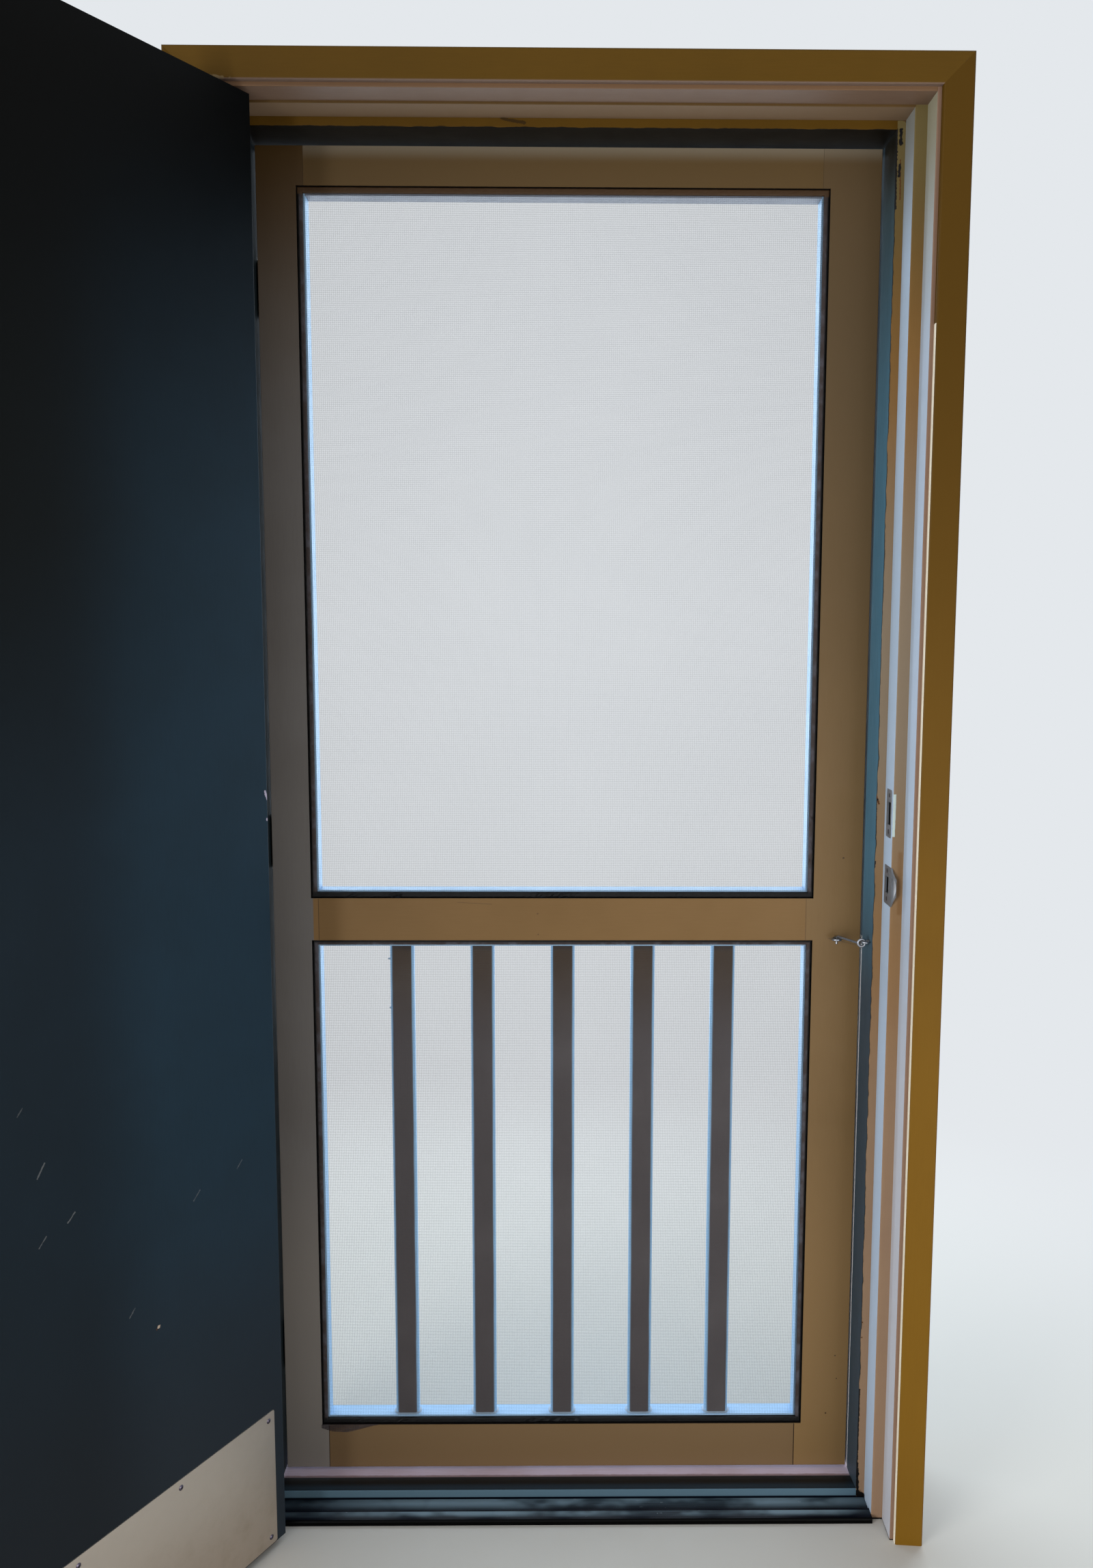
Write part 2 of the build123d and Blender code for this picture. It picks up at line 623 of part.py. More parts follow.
def rose(face_y, way):
    """Round cover plate behind a knob: way is the direction out of the door."""
    outline = stepped_disc(ROSE_R, ROSE_RIM, ROSE_FACE_R, ROSE_THICK, NECK_R + NECK_CLEAR)
    return turned(outline, face_y, way, KNOB_HEIGHT)


def turned(outline, face_y, way, z):
    """Turns an outline of radius and height about the lock axis, out of a face."""
    plane = Plane(origin=(LOCK_X, face_y, z), x_dir=(1, 0, 0), z_dir=(0, 0, way))
    return revolve(plane * outline, axis=Axis((LOCK_X, face_y, z), (0, way, 0)))


def knob(face_y, way):
    """Turned knob: neck, swelling back, widest ring and a slightly domed front."""
    crown = KNOB_STAND
    base, belly, face = crown - KNOB_DEPTH, crown - KNOB_BELLY, crown - KNOB_DOME
    flare = TangentArc((KNOB_R, belly), (NECK_R, base), tangent=(0, -1))
    shoulder = TangentArc((KNOB_R, belly), (KNOB_FACE_R, face), tangent=(0, 1))
    dome = TangentArc((0, crown), (KNOB_FACE_R, face), tangent=(1, 0))
    outline = make_face([Line((NECK_R, KNOB_FOOT), (NECK_R, base)), flare, shoulder, dome,
                         Line((0, crown), (0, KNOB_FOOT)), Line((0, KNOB_FOOT), (NECK_R, KNOB_FOOT))])
    body = turned(outline, face_y, way, KNOB_HEIGHT)
    depth = (face_y, face_y + way * SPINDLE_HOLD)
    return body - box(about(LOCK_X, SPINDLE), depth, about(KNOB_HEIGHT, SPINDLE))


def spindle():
    ends = (LEAF_IN_Y - SPINDLE_HOLD, LEAF_OUT_Y + SPINDLE_HOLD)
    return box(about(LOCK_X, SPINDLE), ends, about(KNOB_HEIGHT, SPINDLE))


def cylinder():
    """Outdoor key cylinder with its plug and key slot."""
    top = LEAF_OUT_Y + CYLINDER_STAND + PLUG_PROUD
    section = stepped_disc(CYLINDER_R, CYLINDER_RIM, CYLINDER_FACE_R, CYLINDER_STAND, 0)
    plug = rod((LOCK_X, LEAF_OUT_Y, BOLT_HEIGHT), (LOCK_X, top, BOLT_HEIGHT), PLUG_R)
    slot = box(about(LOCK_X, KEY_SLOT_WIDTH), (top - KEY_SLOT_DEPTH, top), about(BOLT_HEIGHT, KEY_SLOT))
    return turned(section, LEAF_OUT_Y, 1, BOLT_HEIGHT) + plug - slot


def turn_plate():
    bore = TURN_NECK_R + NECK_CLEAR
    section = stepped_disc(TURN_PLATE_R, TURN_PLATE_RIM, TURN_PLATE_FACE_R, TURN_PLATE_THICK, bore)
    return turned(section, LEAF_IN_Y, -1, BOLT_HEIGHT)


def thumb_turn():
    """Indoor thumb turn with its neck and the flat bar that drives the dead bolt."""
    start = LEAF_IN_Y - NECK_CLEAR
    foot = LEAF_IN_Y - TURN_PLATE_THICK - TURN_LIFT
    neck = rod((LOCK_X, start, BOLT_HEIGHT), (LOCK_X, foot, BOLT_HEIGHT), TURN_NECK_R)
    wing = run(SlotOverall(TURN_LENGTH, TURN_WIDTH), (LOCK_X, foot, BOLT_HEIGHT), UP, LEFT, TURN_RISE)
    ends = (start, LEAF_OUT_Y - TURN_BAR_END)
    bar = box(about(LOCK_X, TURN_BAR_THICK), ends, about(BOLT_HEIGHT, TURN_BAR))
    return neck + wing + bar


def opening_recess(z_pair):
    """Rebate cut round one opening of the screen door, on its room side."""
    return box((OPEN_X0 - LEDGE, OPEN_X1 + LEDGE), (SCREEN_SETBACK - 1, SCREEN_SETBACK + LEDGE_DEPTH),
               (z_pair[0] - LEDGE, z_pair[1] + LEDGE))


def rebated(member):
    for z_pair in (LOWER_Z, UPPER_Z):
        member -= opening_recess(z_pair)
    return member


def rail_spans():
    """The lower and upper edge of each rail."""
    middle = (LOWER_Z[1], UPPER_Z[0])
    return {"bottom": (SCREEN_Z0, LOWER_Z[0]), "middle": middle, "top": (UPPER_Z[1], SCREEN_Z1)}


def tenons(span):
    """The bar that a rail's two tenons are the ends of."""
    depth = about((SCREEN_SETBACK + OUT_Y) / 2, TENON_THICK)
    heights = (span[0] + TENON_SHOULDER, span[1] - TENON_SHOULDER)
    return box((OPEN_X0 - TENON_LENGTH, OPEN_X1 + TENON_LENGTH), depth, heights)


def stile(x0, x1, rounded):
    """Upright of the screen door, its outer long edges eased, mortised for the rails."""
    points = [(x0, SCREEN_SETBACK), (x1, SCREEN_SETBACK), (x1, OUT_Y), (x0, OUT_Y)]
    outline = polygon(points, [(i, MEMBER_ARRIS) for i in rounded])
    body = rebated(Pos(0, 0, SCREEN_Z0) * extrude(outline, amount=SCREEN_Z1 - SCREEN_Z0))
    for span in rail_spans().values():
        body -= tenons(span)
    return body


def hinge_stile():
    body = stile(-SCREEN_X, OPEN_X0, (0, 3))
    depth = (OUT_Y - SCREEN_HINGE_PLATE, OUT_Y + 1)
    for z in screen_hinge_heights():
        body -= box((-SCREEN_X - 1, -SCREEN_X + SCREEN_PLATE_THICK), depth, (z, z + SCREEN_HINGE_TALL))
    return body


def lock_stile():
    return stile(OPEN_X1, SCREEN_X, (1, 2)) - stile_eye_shank()


def rail(name):
    span = rail_spans()[name]
    return rebated(box((OPEN_X0, OPEN_X1), (SCREEN_SETBACK, OUT_Y), span)) + tenons(span)


def baluster(index):
    """Upright bar of the lower panel, with strongly rounded long edges."""
    pitch = (OPEN_X1 - OPEN_X0) / (BALUSTER_COUNT + 1)
    x = OPEN_X0 + pitch * (index + 1)
    y = OUT_Y - BALUSTER_BACK - BALUSTER_DEPTH / 2
    outline = Pos(x, y) * RectangleRounded(BALUSTER_WIDTH, BALUSTER_DEPTH, BALUSTER_ROUND)
    return Pos(0, 0, LOWER_Z[0]) * extrude(outline, amount=LOWER_Z[1] - LOWER_Z[0])


def opening_rectangle(z_pair, grow):
    width = OPEN_X1 - OPEN_X0 + 2 * grow
    height = z_pair[1] - z_pair[0] + 2 * grow
    return Rectangle(width, height)


def opening_sheet(outline, z_pair, y, thick):
    centre = ((OPEN_X0 + OPEN_X1) / 2, y, (z_pair[0] + z_pair[1]) / 2)
    return run(outline, centre, LEFT, UP, thick)


def mesh(z_pair):
    y = SCREEN_SETBACK + LEDGE_DEPTH - MESH_THICK
    return opening_sheet(opening_rectangle(z_pair, LEDGE - MESH_MARGIN), z_pair, y, MESH_THICK)


def spline(z_pair):
    """Rubber bead that holds the mesh down round the rebate."""
    y = SCREEN_SETBACK + LEDGE_DEPTH - MESH_THICK - SPLINE_DEPTH
    outer = LEDGE - SPLINE_GAP
    ring = opening_rectangle(z_pair, outer) - opening_rectangle(z_pair, outer - SPLINE_WIDTH)
    return opening_sheet(ring, z_pair, y, SPLINE_DEPTH)


def pull_handle():
    """Bow pull on the outdoor face of the lock stile."""
    x = (OPEN_X1 + SCREEN_X) / 2
    low, high = PULL_HEIGHT - PULL_LENGTH / 2, PULL_HEIGHT + PULL_LENGTH / 2
    path = FilletPolyline((x, OUT_Y + PULL_FOOT_THICK / 2, low), (x, OUT_Y + PULL_STAND, low),
                          (x, OUT_Y + PULL_STAND, high), (x, OUT_Y + PULL_FOOT_THICK / 2, high),
                          radius=PULL_BEND)
    section = Plane(origin=path @ 0, z_dir=path % 0) * Circle(PULL_ROD_R)
    pull = sweep(section, path=path)
    for z in (low, high):
        pull += rod((x, OUT_Y, z), (x, OUT_Y + PULL_FOOT_THICK, z), PULL_FOOT_R)
    return pull


def ring(centre, axis, radius, wire):
    """A closed wire ring about an axis."""
    return Plane(origin=centre, z_dir=axis) * Torus(radius, wire)


def jamb_eye_shank(start):
    return rod((start, EYE_BACK, HOOK_HEIGHT), (STOP_X + SHANK_IN, EYE_BACK, HOOK_HEIGHT), EYE_WIRE_R)


def jamb_eye():
    ring_x = STOP_X - EYE_STAND
    eye = ring((ring_x, EYE_BACK, HOOK_HEIGHT), (0, 0, 1), EYE_R, EYE_WIRE_R)
    return eye + jamb_eye_shank(ring_x + EYE_R)


def stile_eye_centre():
    return (SCREEN_X - STILE_EYE_X, SCREEN_SETBACK - STILE_EYE_OFF, HOOK_HEIGHT - STILE_EYE_DROP)


def stile_eye_shank():
    x, y, z = stile_eye_centre()
    return rod((x, y + STILE_EYE_R, z), (x, SCREEN_SETBACK + SHANK_IN, z), WIRE_R)


def stile_eye():
    return ring(stile_eye_centre(), (0, 0, 1), STILE_EYE_R, WIRE_R) + stile_eye_shank()


def hook_pivot():
    """Centre of the hook's loop, which hangs on the far side of the jamb eye's ring."""
    sag = LOOP_R - WIRE_R - EYE_WIRE_R - LOOP_GAP
    return (STOP_X - EYE_STAND - EYE_R, EYE_BACK, HOOK_HEIGHT - sag)


def latch_hook():
    """Wire hook: its loop hangs on the jamb eye, its tip drops through the stile eye."""
    px, py, pz = hook_pivot()
    body = ring((px, py, pz), (0, 1, 0), LOOP_R, WIRE_R)
    ex, ey, ez = stile_eye_centre()
    bend = ez + STILE_EYE_DROP
    points = [(px - LOOP_R, py, pz), (ex, ey, bend), (ex, ey, bend - TIP_LENGTH)]
    path = FilletPolyline(*points, radius=TIP_BEND)
    section = Plane(origin=path @ 0, z_dir=path % 0) * Circle(WIRE_R)
    return body + sweep(section, path=path)


def frame_nodes():
    return {
        "jamb_left": jamb_left(),
        "jamb_right": jamb_right(),
        "jamb_head": jamb_head(),
        "extension_left": mirror_x(extension_right()),
        "extension_right": extension_right(),
        "extension_head": extension_head(),
        "threshold": threshold(),
        "sill": sill(),
        "outer_sill": outer_sill(),
        "casing_left": mirror_x(casing_right()),
        "casing_right": casing_right(),
        "casing_head": casing_head(),
        "outdoor_trim_left": mirror_x(trim_right()),
        "outdoor_trim_right": trim_right(),
        "outdoor_trim_head": trim_head(),
        "deadbolt_strike": deadbolt_strike(),
        "latch_strike": latch_strike(),
        "jamb_eye": jamb_eye(),
    }


def hinge_nodes():
    nodes = {}
    for name, z in zip(("bottom", "middle", "top"), entry_hinge_heights()):
        nodes[f"entry_hinge_{name}_jamb_leaf"] = entry_jamb_leaf(z)
        nodes[f"entry_hinge_{name}_door_leaf"] = swing(entry_door_leaf(z))
    nodes["entry_hinge_pins"] = Compound([hinge_pin((PIN_X, PIN_Y), z, HINGE_TALL, HINGE_PIN_R, BARREL_R)
                                          for z in entry_hinge_heights()])
    heights = screen_hinge_heights()
    nodes["screen_hinge_jamb_leaves"] = Compound([screen_jamb_leaf(z) for z in heights])
    nodes["screen_hinge_door_leaves"] = Compound([screen_door_leaf(z) for z in heights])
    nodes["screen_hinge_pins"] = Compound([hinge_pin((SCREEN_PIN_X, SCREEN_PIN_Y), z, SCREEN_HINGE_TALL,
                                                     SCREEN_PIN_R, SCREEN_BARREL_R) for z in heights])
    return nodes


def entry_nodes():
    closed = {
        "entry_leaf": entry_leaf(),
        "kick_plate": kick_plate(),
        "latch_tube": bolt_tube(KNOB_HEIGHT, LATCH_TUBE_R, LATCH_W, LATCH_H),
        "latch_bolt": latch_bolt(),
        "deadbolt_tube": bolt_tube(BOLT_HEIGHT, BOLT_TUBE_R, BOLT_W, BOLT_H),
        "deadbolt": dead_bolt(),
        "rose_outdoor": rose(LEAF_OUT_Y, 1),
        "rose_indoor": rose(LEAF_IN_Y, -1),
        "knob_outdoor": knob(LEAF_OUT_Y, 1),
        "knob_indoor": knob(LEAF_IN_Y, -1),
        "knob_spindle": spindle(),
        "deadbolt_cylinder": cylinder(),
        "thumb_turn_plate": turn_plate(),
        "thumb_turn": thumb_turn(),
    }
    return {name: swing(shape) for name, shape in closed.items()}


def screen_nodes():
    nodes = {
        "screen_stile_hinge": hinge_stile(),
        "screen_stile_lock": lock_stile(),
        "screen_rail_top": rail("top"),
        "screen_rail_middle": rail("middle"),
        "screen_rail_bottom": rail("bottom"),
        "mesh_upper": mesh(UPPER_Z),
        "mesh_lower": mesh(LOWER_Z),
        "mesh_spline_upper": spline(UPPER_Z),
        "mesh_spline_lower": spline(LOWER_Z),
        "screen_pull": pull_handle(),
        "stile_eye": stile_eye(),
        "latch_hook": latch_hook(),
    }
    for index in range(BALUSTER_COUNT):
        nodes[f"baluster_{index + 1}"] = baluster(index)
    return nodes


def main():
    os.makedirs("parts", exist_ok=True)
    nodes = {**frame_nodes(), **hinge_nodes(), **entry_nodes(), **screen_nodes()}
    for name, shape in nodes.items():
        export_step(shape, f"parts/{name}.step")
    print(len(nodes), "nodes")


main()
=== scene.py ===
"""Looks of a doorway set: a screen door and a flush entry door hung in one painted frame.

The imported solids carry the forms. This script gives each of them its finish, adds the
screws, the worn bead, the caulk and the loose strip of mesh, and sets a plain studio round
the doorway. X runs right as seen from the room, Y runs outdoors and Z up. Sizes are
millimetres, like the real doorway's, and MM turns them into the scene's metres.
"""

import json
import logging
import math
import random
from dataclasses import dataclass, replace
from enum import Enum

import bmesh
import bpy
from mathutils import Matrix, Vector


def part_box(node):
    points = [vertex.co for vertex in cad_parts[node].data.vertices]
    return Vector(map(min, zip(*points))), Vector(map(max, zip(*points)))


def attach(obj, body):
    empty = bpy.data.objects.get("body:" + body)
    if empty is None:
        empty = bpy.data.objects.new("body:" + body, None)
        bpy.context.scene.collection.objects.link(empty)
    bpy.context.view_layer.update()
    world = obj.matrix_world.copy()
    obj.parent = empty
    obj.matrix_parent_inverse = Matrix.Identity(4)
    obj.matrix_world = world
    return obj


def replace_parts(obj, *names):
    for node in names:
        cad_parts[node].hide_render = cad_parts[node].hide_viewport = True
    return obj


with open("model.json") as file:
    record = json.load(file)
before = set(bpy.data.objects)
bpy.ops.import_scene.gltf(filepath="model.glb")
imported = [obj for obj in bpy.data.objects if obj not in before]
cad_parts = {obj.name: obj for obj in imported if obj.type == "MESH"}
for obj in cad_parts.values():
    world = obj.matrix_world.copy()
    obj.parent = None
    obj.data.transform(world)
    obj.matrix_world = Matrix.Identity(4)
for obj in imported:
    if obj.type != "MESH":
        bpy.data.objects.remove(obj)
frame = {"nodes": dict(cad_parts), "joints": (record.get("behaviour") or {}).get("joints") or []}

MM = 0.001
FAR = 9999.0
Span = tuple[float, float]
Point = tuple[float, float, float]
Colour = tuple[float, float, float, float]
Seat = tuple[Vector, Vector]
Socket = bpy.types.NodeSocket
log = logging.getLogger("doorway")

OPEN_TURN = 121.0
HINGE_LOWS = (269.5, 1014.9, 1760.3)
HINGE_HOLES = ((-33.0, 12.0), (-22.0, 37.0), (-33.0, 63.0), (-22.0, 88.0))
SCREEN_HINGE_LOWS = (161.5, 980.9, 1800.3)
SCREEN_HINGE_HOLES = (12.0, 38.0, 64.0)
SCREEN_HINGE_MIDDLE = 84.5
KNOB_HEIGHT, BOLT_HEIGHT = 978.0, 1082.5
LEAF_IN, LEAF_OUT = -46.0, -1.5
SCREEN_FRONT = 62.4
LEFT_JOINT, RIGHT_JOINT = -379.0, 363.0
BAR_PITCH = (RIGHT_JOINT - LEFT_JOINT) / 6


def srgb(red: int, green: int, blue: int) -> Colour:
    """Turns a colour as a screen shows it into the linear one that a socket takes.

    Args:
        red: Red, from 0 to 255.
        green: Green, from 0 to 255.
        blue: Blue, from 0 to 255.

    Returns:
        The linear colour, opaque.
    """
    def linear(channel: int) -> float:
        """Undoes the screen's curve for one channel."""
        share = channel / 255
        return share / 12.92 if share <= 0.04045 else ((share + 0.055) / 1.055) ** 2.4

    return (linear(red), linear(green), linear(blue), 1.0)


class Num:
    """A number that changes over a surface. Arithmetic on it adds Math nodes."""

    def __init__(self, shader: "Shader", socket: Socket) -> None:
        """Keeps the tree, and the socket that carries the number."""
        self.shader = shader
        self.socket = socket

    def _math(self, operation: str, *values: "Num | float") -> "Num":
        """Adds one Math node on the given values."""
        node = self.shader.node("ShaderNodeMath", {"operation": operation}, dict(enumerate(values)))
        return Num(self.shader, node.outputs[0])

    def __add__(self, other: "Num | float") -> "Num":
        """self + other."""
        return self._math("ADD", self, other)

    def __radd__(self, other: float) -> "Num":
        """other + self."""
        return self._math("ADD", other, self)

    def __sub__(self, other: "Num | float") -> "Num":
        """self - other."""
        return self._math("SUBTRACT", self, other)

    def __rsub__(self, other: float) -> "Num":
        """other - self."""
        return self._math("SUBTRACT", other, self)

    def __mul__(self, other: "Num | float") -> "Num":
        """self * other."""
        return self._math("MULTIPLY", self, other)

    def __rmul__(self, other: float) -> "Num":
        """other * self."""
        return self._math("MULTIPLY", other, self)

    def __abs__(self) -> "Num":
        """The size of self without its sign."""
        return self._math("ABSOLUTE", self)

    def most(self, other: "Num | float") -> "Num":
        """The larger of self and other."""
        return self._math("MAXIMUM", self, other)

    def least(self, other: "Num | float") -> "Num":
        """The smaller of self and other."""
        return self._math("MINIMUM", self, other)

    def wave(self, pitch: float) -> "Num":
        """Rises and falls between 0 and half of pitch, once in each pitch."""
        return self._math("PINGPONG", self, pitch / 2)

    def rise(self, low: float, high: float) -> "Num":
        """A smooth step: 0 at low and 1 at high, or the other way round if low is above high."""
        node = self.shader.node("ShaderNodeMapRange", {"interpolation_type": "SMOOTHSTEP"},
                                {"Value": self, "From Min": low, "From Max": high})
        return Num(self.shader, node.outputs["Result"])


class Shader:
    """Builds the node tree of one material or of the world."""

    def __init__(self, tree: bpy.types.NodeTree) -> None:
        """Empties the tree that the nodes go to."""
        self.tree = tree
        tree.nodes.clear()

    def node(self, kind: str, settings: dict | None = None,
             inputs: dict | None = None) -> bpy.types.Node:
        """Adds a node.

        Args:
            kind: The node's type.
            settings: Its own settings, set first.
            inputs: What goes to its sockets, by name or number: a value, a Num or another socket.

        Returns:
            The new node.
        """
        made = self.tree.nodes.new(kind)
        for name, value in (settings or {}).items():
            setattr(made, name, value)
        for key, value in (inputs or {}).items():
            source = value.socket if isinstance(value, Num) else value
            if isinstance(source, Socket):
                self.tree.links.new(source, made.inputs[key])
            else:
                made.inputs[key].default_value = source
        return made

    def place(self) -> Socket:
        """The point on the surface, in the object's own coordinates."""
        return self.node("ShaderNodeTexCoord").outputs["Object"]

    def turned(self, place: Socket, turn: Matrix) -> Socket:
        """The point as it is after a turn and a shift.

        Args:
            place: The point.
            turn: The move, a rotation and a translation.

        Returns:
            The moved point.
        """
        move = {"Vector": place, "Location": turn.to_translation(), "Rotation": turn.to_euler()}
        return self.node("ShaderNodeMapping", {"vector_type": "POINT"}, move).outputs[0]

    def axes(self, place: Socket) -> tuple[Num, Num, Num]:
        """The point's coordinates.

        Args:
            place: The point.

        Returns:
            Its X, Y and Z, in millimetres.
        """
        scaled = self.vector("SCALE", place, scale=1 / MM)
        node = self.node("ShaderNodeSeparateXYZ", inputs={0: scaled})
        return tuple(Num(self, output) for output in node.outputs)

    def vector(self, operation: str, *vectors: object, scale: float = 1.0) -> Socket:
        """Adds one Vector Math node.

        Args:
            operation: What it does.
            vectors: What it does it with.
            scale: The factor, for the operation SCALE.

        Returns:
            The output that its operation fills.
        """
        inputs = dict(enumerate(vectors))
        if operation == "SCALE":
            inputs["Scale"] = scale
        node = self.node("ShaderNodeVectorMath", {"operation": operation}, inputs)
        return node.outputs["Value" if operation in ("DOT_PRODUCT", "LENGTH") else "Vector"]

    def noise(self, place: Socket, size: float, stretch: Point = (1, 1, 1),
              detail: float = 2.0, shift: float = 0.0) -> Num:
        """Smooth noise between 0 and 1.

        Args:
            place: The point.
            size: Size of its features in millimetres.
            stretch: How many times longer the features are along each axis.
            detail: How many finer layers it has.
            shift: Moves the pattern, so that two of one size differ.

        Returns:
            The noise.
        """
        scale = tuple(1 / (size * MM * times) for times in stretch)
        scaled = self.vector("MULTIPLY_ADD", place, scale, (shift, shift, shift))
        node = self.node("ShaderNodeTexNoise", {"noise_dimensions": "3D"},
                         {"Vector": scaled, "Scale": 1.0, "Detail": detail, "Roughness": 0.55})
        return Num(self, node.outputs[0])

    def mix(self, share: "Num | float", first: object, second: object) -> Socket:
        """The colour that is first where share is 0 and second where it is 1."""
        node = self.node("ShaderNodeMix", {"data_type": "RGBA"}, {0: share, 6: first, 7: second})
        return node.outputs[2]

    def relief(self, height: Num, depth: float) -> Socket:
        """A normal for a height between 0 and 1 that stands depth millimetres out."""
        inputs = {"Strength": 1.0, "Distance": depth * MM, "Height": height}
        return self.node("ShaderNodeBump", inputs=inputs).outputs[0]

    def surface(self, **sockets: object) -> None:
        """Ends the tree in a Principled shader.

        Args:
            sockets: What goes to its sockets. A name's underscores stand for spaces.
        """
        inputs = {name.replace("_", " "): value for name, value in sockets.items()}
        shader = self.node("ShaderNodeBsdfPrincipled", inputs=inputs)
        self.node("ShaderNodeOutputMaterial", inputs={"Surface": shader.outputs[0]})


class Along(Enum):
    """The way that a brush or a grain runs, as how far it stretches a pattern."""

    ACROSS = (24.0, 1.0, 1.0)
    UPRIGHT = (1.0, 1.0, 24.0)


@dataclass(frozen=True)
class Mark:
    """A scuff, chip or line between two points of a surface, in millimetres.

    Attributes:
        start: One end.
        end: The other end.
        width: How wide it is.
        colour: What shows there.
        share: How much of it shows.
        ragged: How far its edge wanders, as a share of its width.
        soft: How much of its width fades out.
    """

    start: Point
    end: Point
    width: float
    colour: Colour
    share: float = 1.0
    ragged: float = 0.6
    soft: float = 0.4

    def mask(self, shader: Shader, place: Socket) -> Num:
        """Where the mark shows.

        Args:
            shader: The material's tree.
            place: The point on the surface.

        Returns:
            The share of the mark that shows at the point.
        """
        start, end = Vector(self.start) * MM, Vector(self.end) * MM
        off = shader.vector("SUBTRACT", place, start)
        run = end - start
        if run.length > 0:
            along = Num(shader, shader.vector("DOT_PRODUCT", off, run / run.length_squared))
            spot = shader.node("ShaderNodeVectorMath", {"operation": "SCALE"},
                               {0: run, "Scale": along.most(0.0).least(1.0)})
            off = shader.vector("SUBTRACT", off, spot.outputs[0])
        half = self.width / 2
        away = Num(shader, shader.vector("LENGTH", off)) * (1 / MM)
        if self.ragged:
            stray = shader.noise(place, max(self.width, 3.0)) - 0.5
            away = away + stray * (self.ragged * self.width * 2)
        return away.rise(half, half * (1 - self.soft)) * self.share


def spot(place: Point, width: float, colour: Colour, share: float = 1.0) -> Mark:
    """A round mark: where it is, how wide, in what colour, and how much of it shows."""
    return Mark(place, place, width, colour, share)


@dataclass(frozen=True)
class Zone:
    """The part of a surface between given coordinates, in another colour.

    Attributes:
        colour: Its colour.
        x: Least and greatest X in millimetres, measured either way from the middle.
        y: Least and greatest Y.
        z: Least and greatest Z.
        soft: How many millimetres its border fades over.
        wander: How many millimetres its border strays.
        share: How much of the colour shows.
    """

    colour: Colour
    x: Span = (-FAR, FAR)
    y: Span = (-FAR, FAR)
    z: Span = (-FAR, FAR)
    soft: float = 0.6
    wander: float = 0.0
    share: float = 1.0

    def mask(self, shader: Shader, place: Socket) -> Num:
        """Where the zone shows.

        Args:
            shader: The material's tree.
            place: The point on the surface.

        Returns:
            The share of the zone's colour at the point.
        """
        across, out, up = shader.axes(place)
        shown: Num | float = self.share
        for axis, (low, high) in zip((abs(across), out, up), (self.x, self.y, self.z)):
            if self.wander and (low > -FAR or high < FAR):
                stray = shader.noise(place, 18, detail=3, shift=11.0) - 0.5
                axis = axis + stray * (2 * self.wander)
            if low > -FAR:
                shown = shown * axis.rise(low - self.soft / 2, low + self.soft / 2)
            if high < FAR:
                shown = shown * axis.rise(high + self.soft / 2, high - self.soft / 2)
        return shown


@dataclass(frozen=True)
class Finish:
    """What a surface is covered with.

    Attributes:
        name: The material's name.
        slot: The record's slot that it belongs to; not used.
        colour: Its main colour.
        shade: Its second colour, where it is soiled or worn; on the sill, its painted highlight.
        along: The way its brush marks or grain run.
        roughness: How matt it is, on average.
        gloss: How strongly it mirrors when seen straight on; 0.5 is a hard varnish.
        zones: Parts of it in another colour.
        marks: Scuffs, chips and lines.
        turn: Brings the piece to the place that zones and marks are measured in.
    """

    name: str
    slot: str
    colour: Colour
    shade: Colour
    along: Along = Along.UPRIGHT
    roughness: float = 0.5
    gloss: float = 0.25
    zones: tuple[Zone, ...] = ()
    marks: tuple[Mark, ...] = ()
    turn: Matrix | None = None

    def material(self) -> bpy.types.Material:
        """Makes the finish's material the first time that it is asked for.

        Returns:
            The material.
        """
        made = bpy.data.materials.get(self.name)
        if made is None:
            made = bpy.data.materials.new(self.name)
            made.use_nodes = True
            self.paint(Shader(made.node_tree))
        return made

    def paint(self, shader: Shader) -> None:
        """Fills the material's tree; each kind of finish has its own."""
        raise NotImplementedError

    def place(self, shader: Shader) -> Socket:
        """The point on the surface, turned back if the piece stands turned."""
        place = shader.place()
        return shader.turned(place, self.turn) if self.turn else place

    def lay(self, shader: Shader, place: Socket, colour: Socket,
            patches: tuple[Zone, ...] | tuple[Mark, ...]) -> Socket:
        """Lays zones or marks over a colour.

        Args:
            shader: The material's tree.
            place: The point on the surface.
            colour: What lies under them.
            patches: The zones or marks, the lowest one first.

        Returns:
            The colour with all of them.
        """
        for patch in patches:
            colour = shader.mix(patch.mask(shader, place), colour, patch.colour)
        return colour

    def on_nodes(self, *names: str) -> None:
        """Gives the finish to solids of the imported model.

        Args:
            names: The solids' nodes.
        """
        for name in names:
            for slot in frame["nodes"][name].material_slots:
                slot.material = self.material()
            log.info("%s is finished in %s", name, self.name)

    def on_piece(self, piece: bpy.types.Object, body: str) -> bpy.types.Object:
        """Gives the finish to a new piece, and sets it on its body.

        Args:
            piece: The piece.
            body: The body that it moves with.

        Returns:
            The piece.
        """
        piece.data.materials.clear()
        piece.data.materials.append(self.material())
        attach(piece, body)
        log.info("%s rides on %s, finished in %s", piece.name, body, self.name)
        return piece


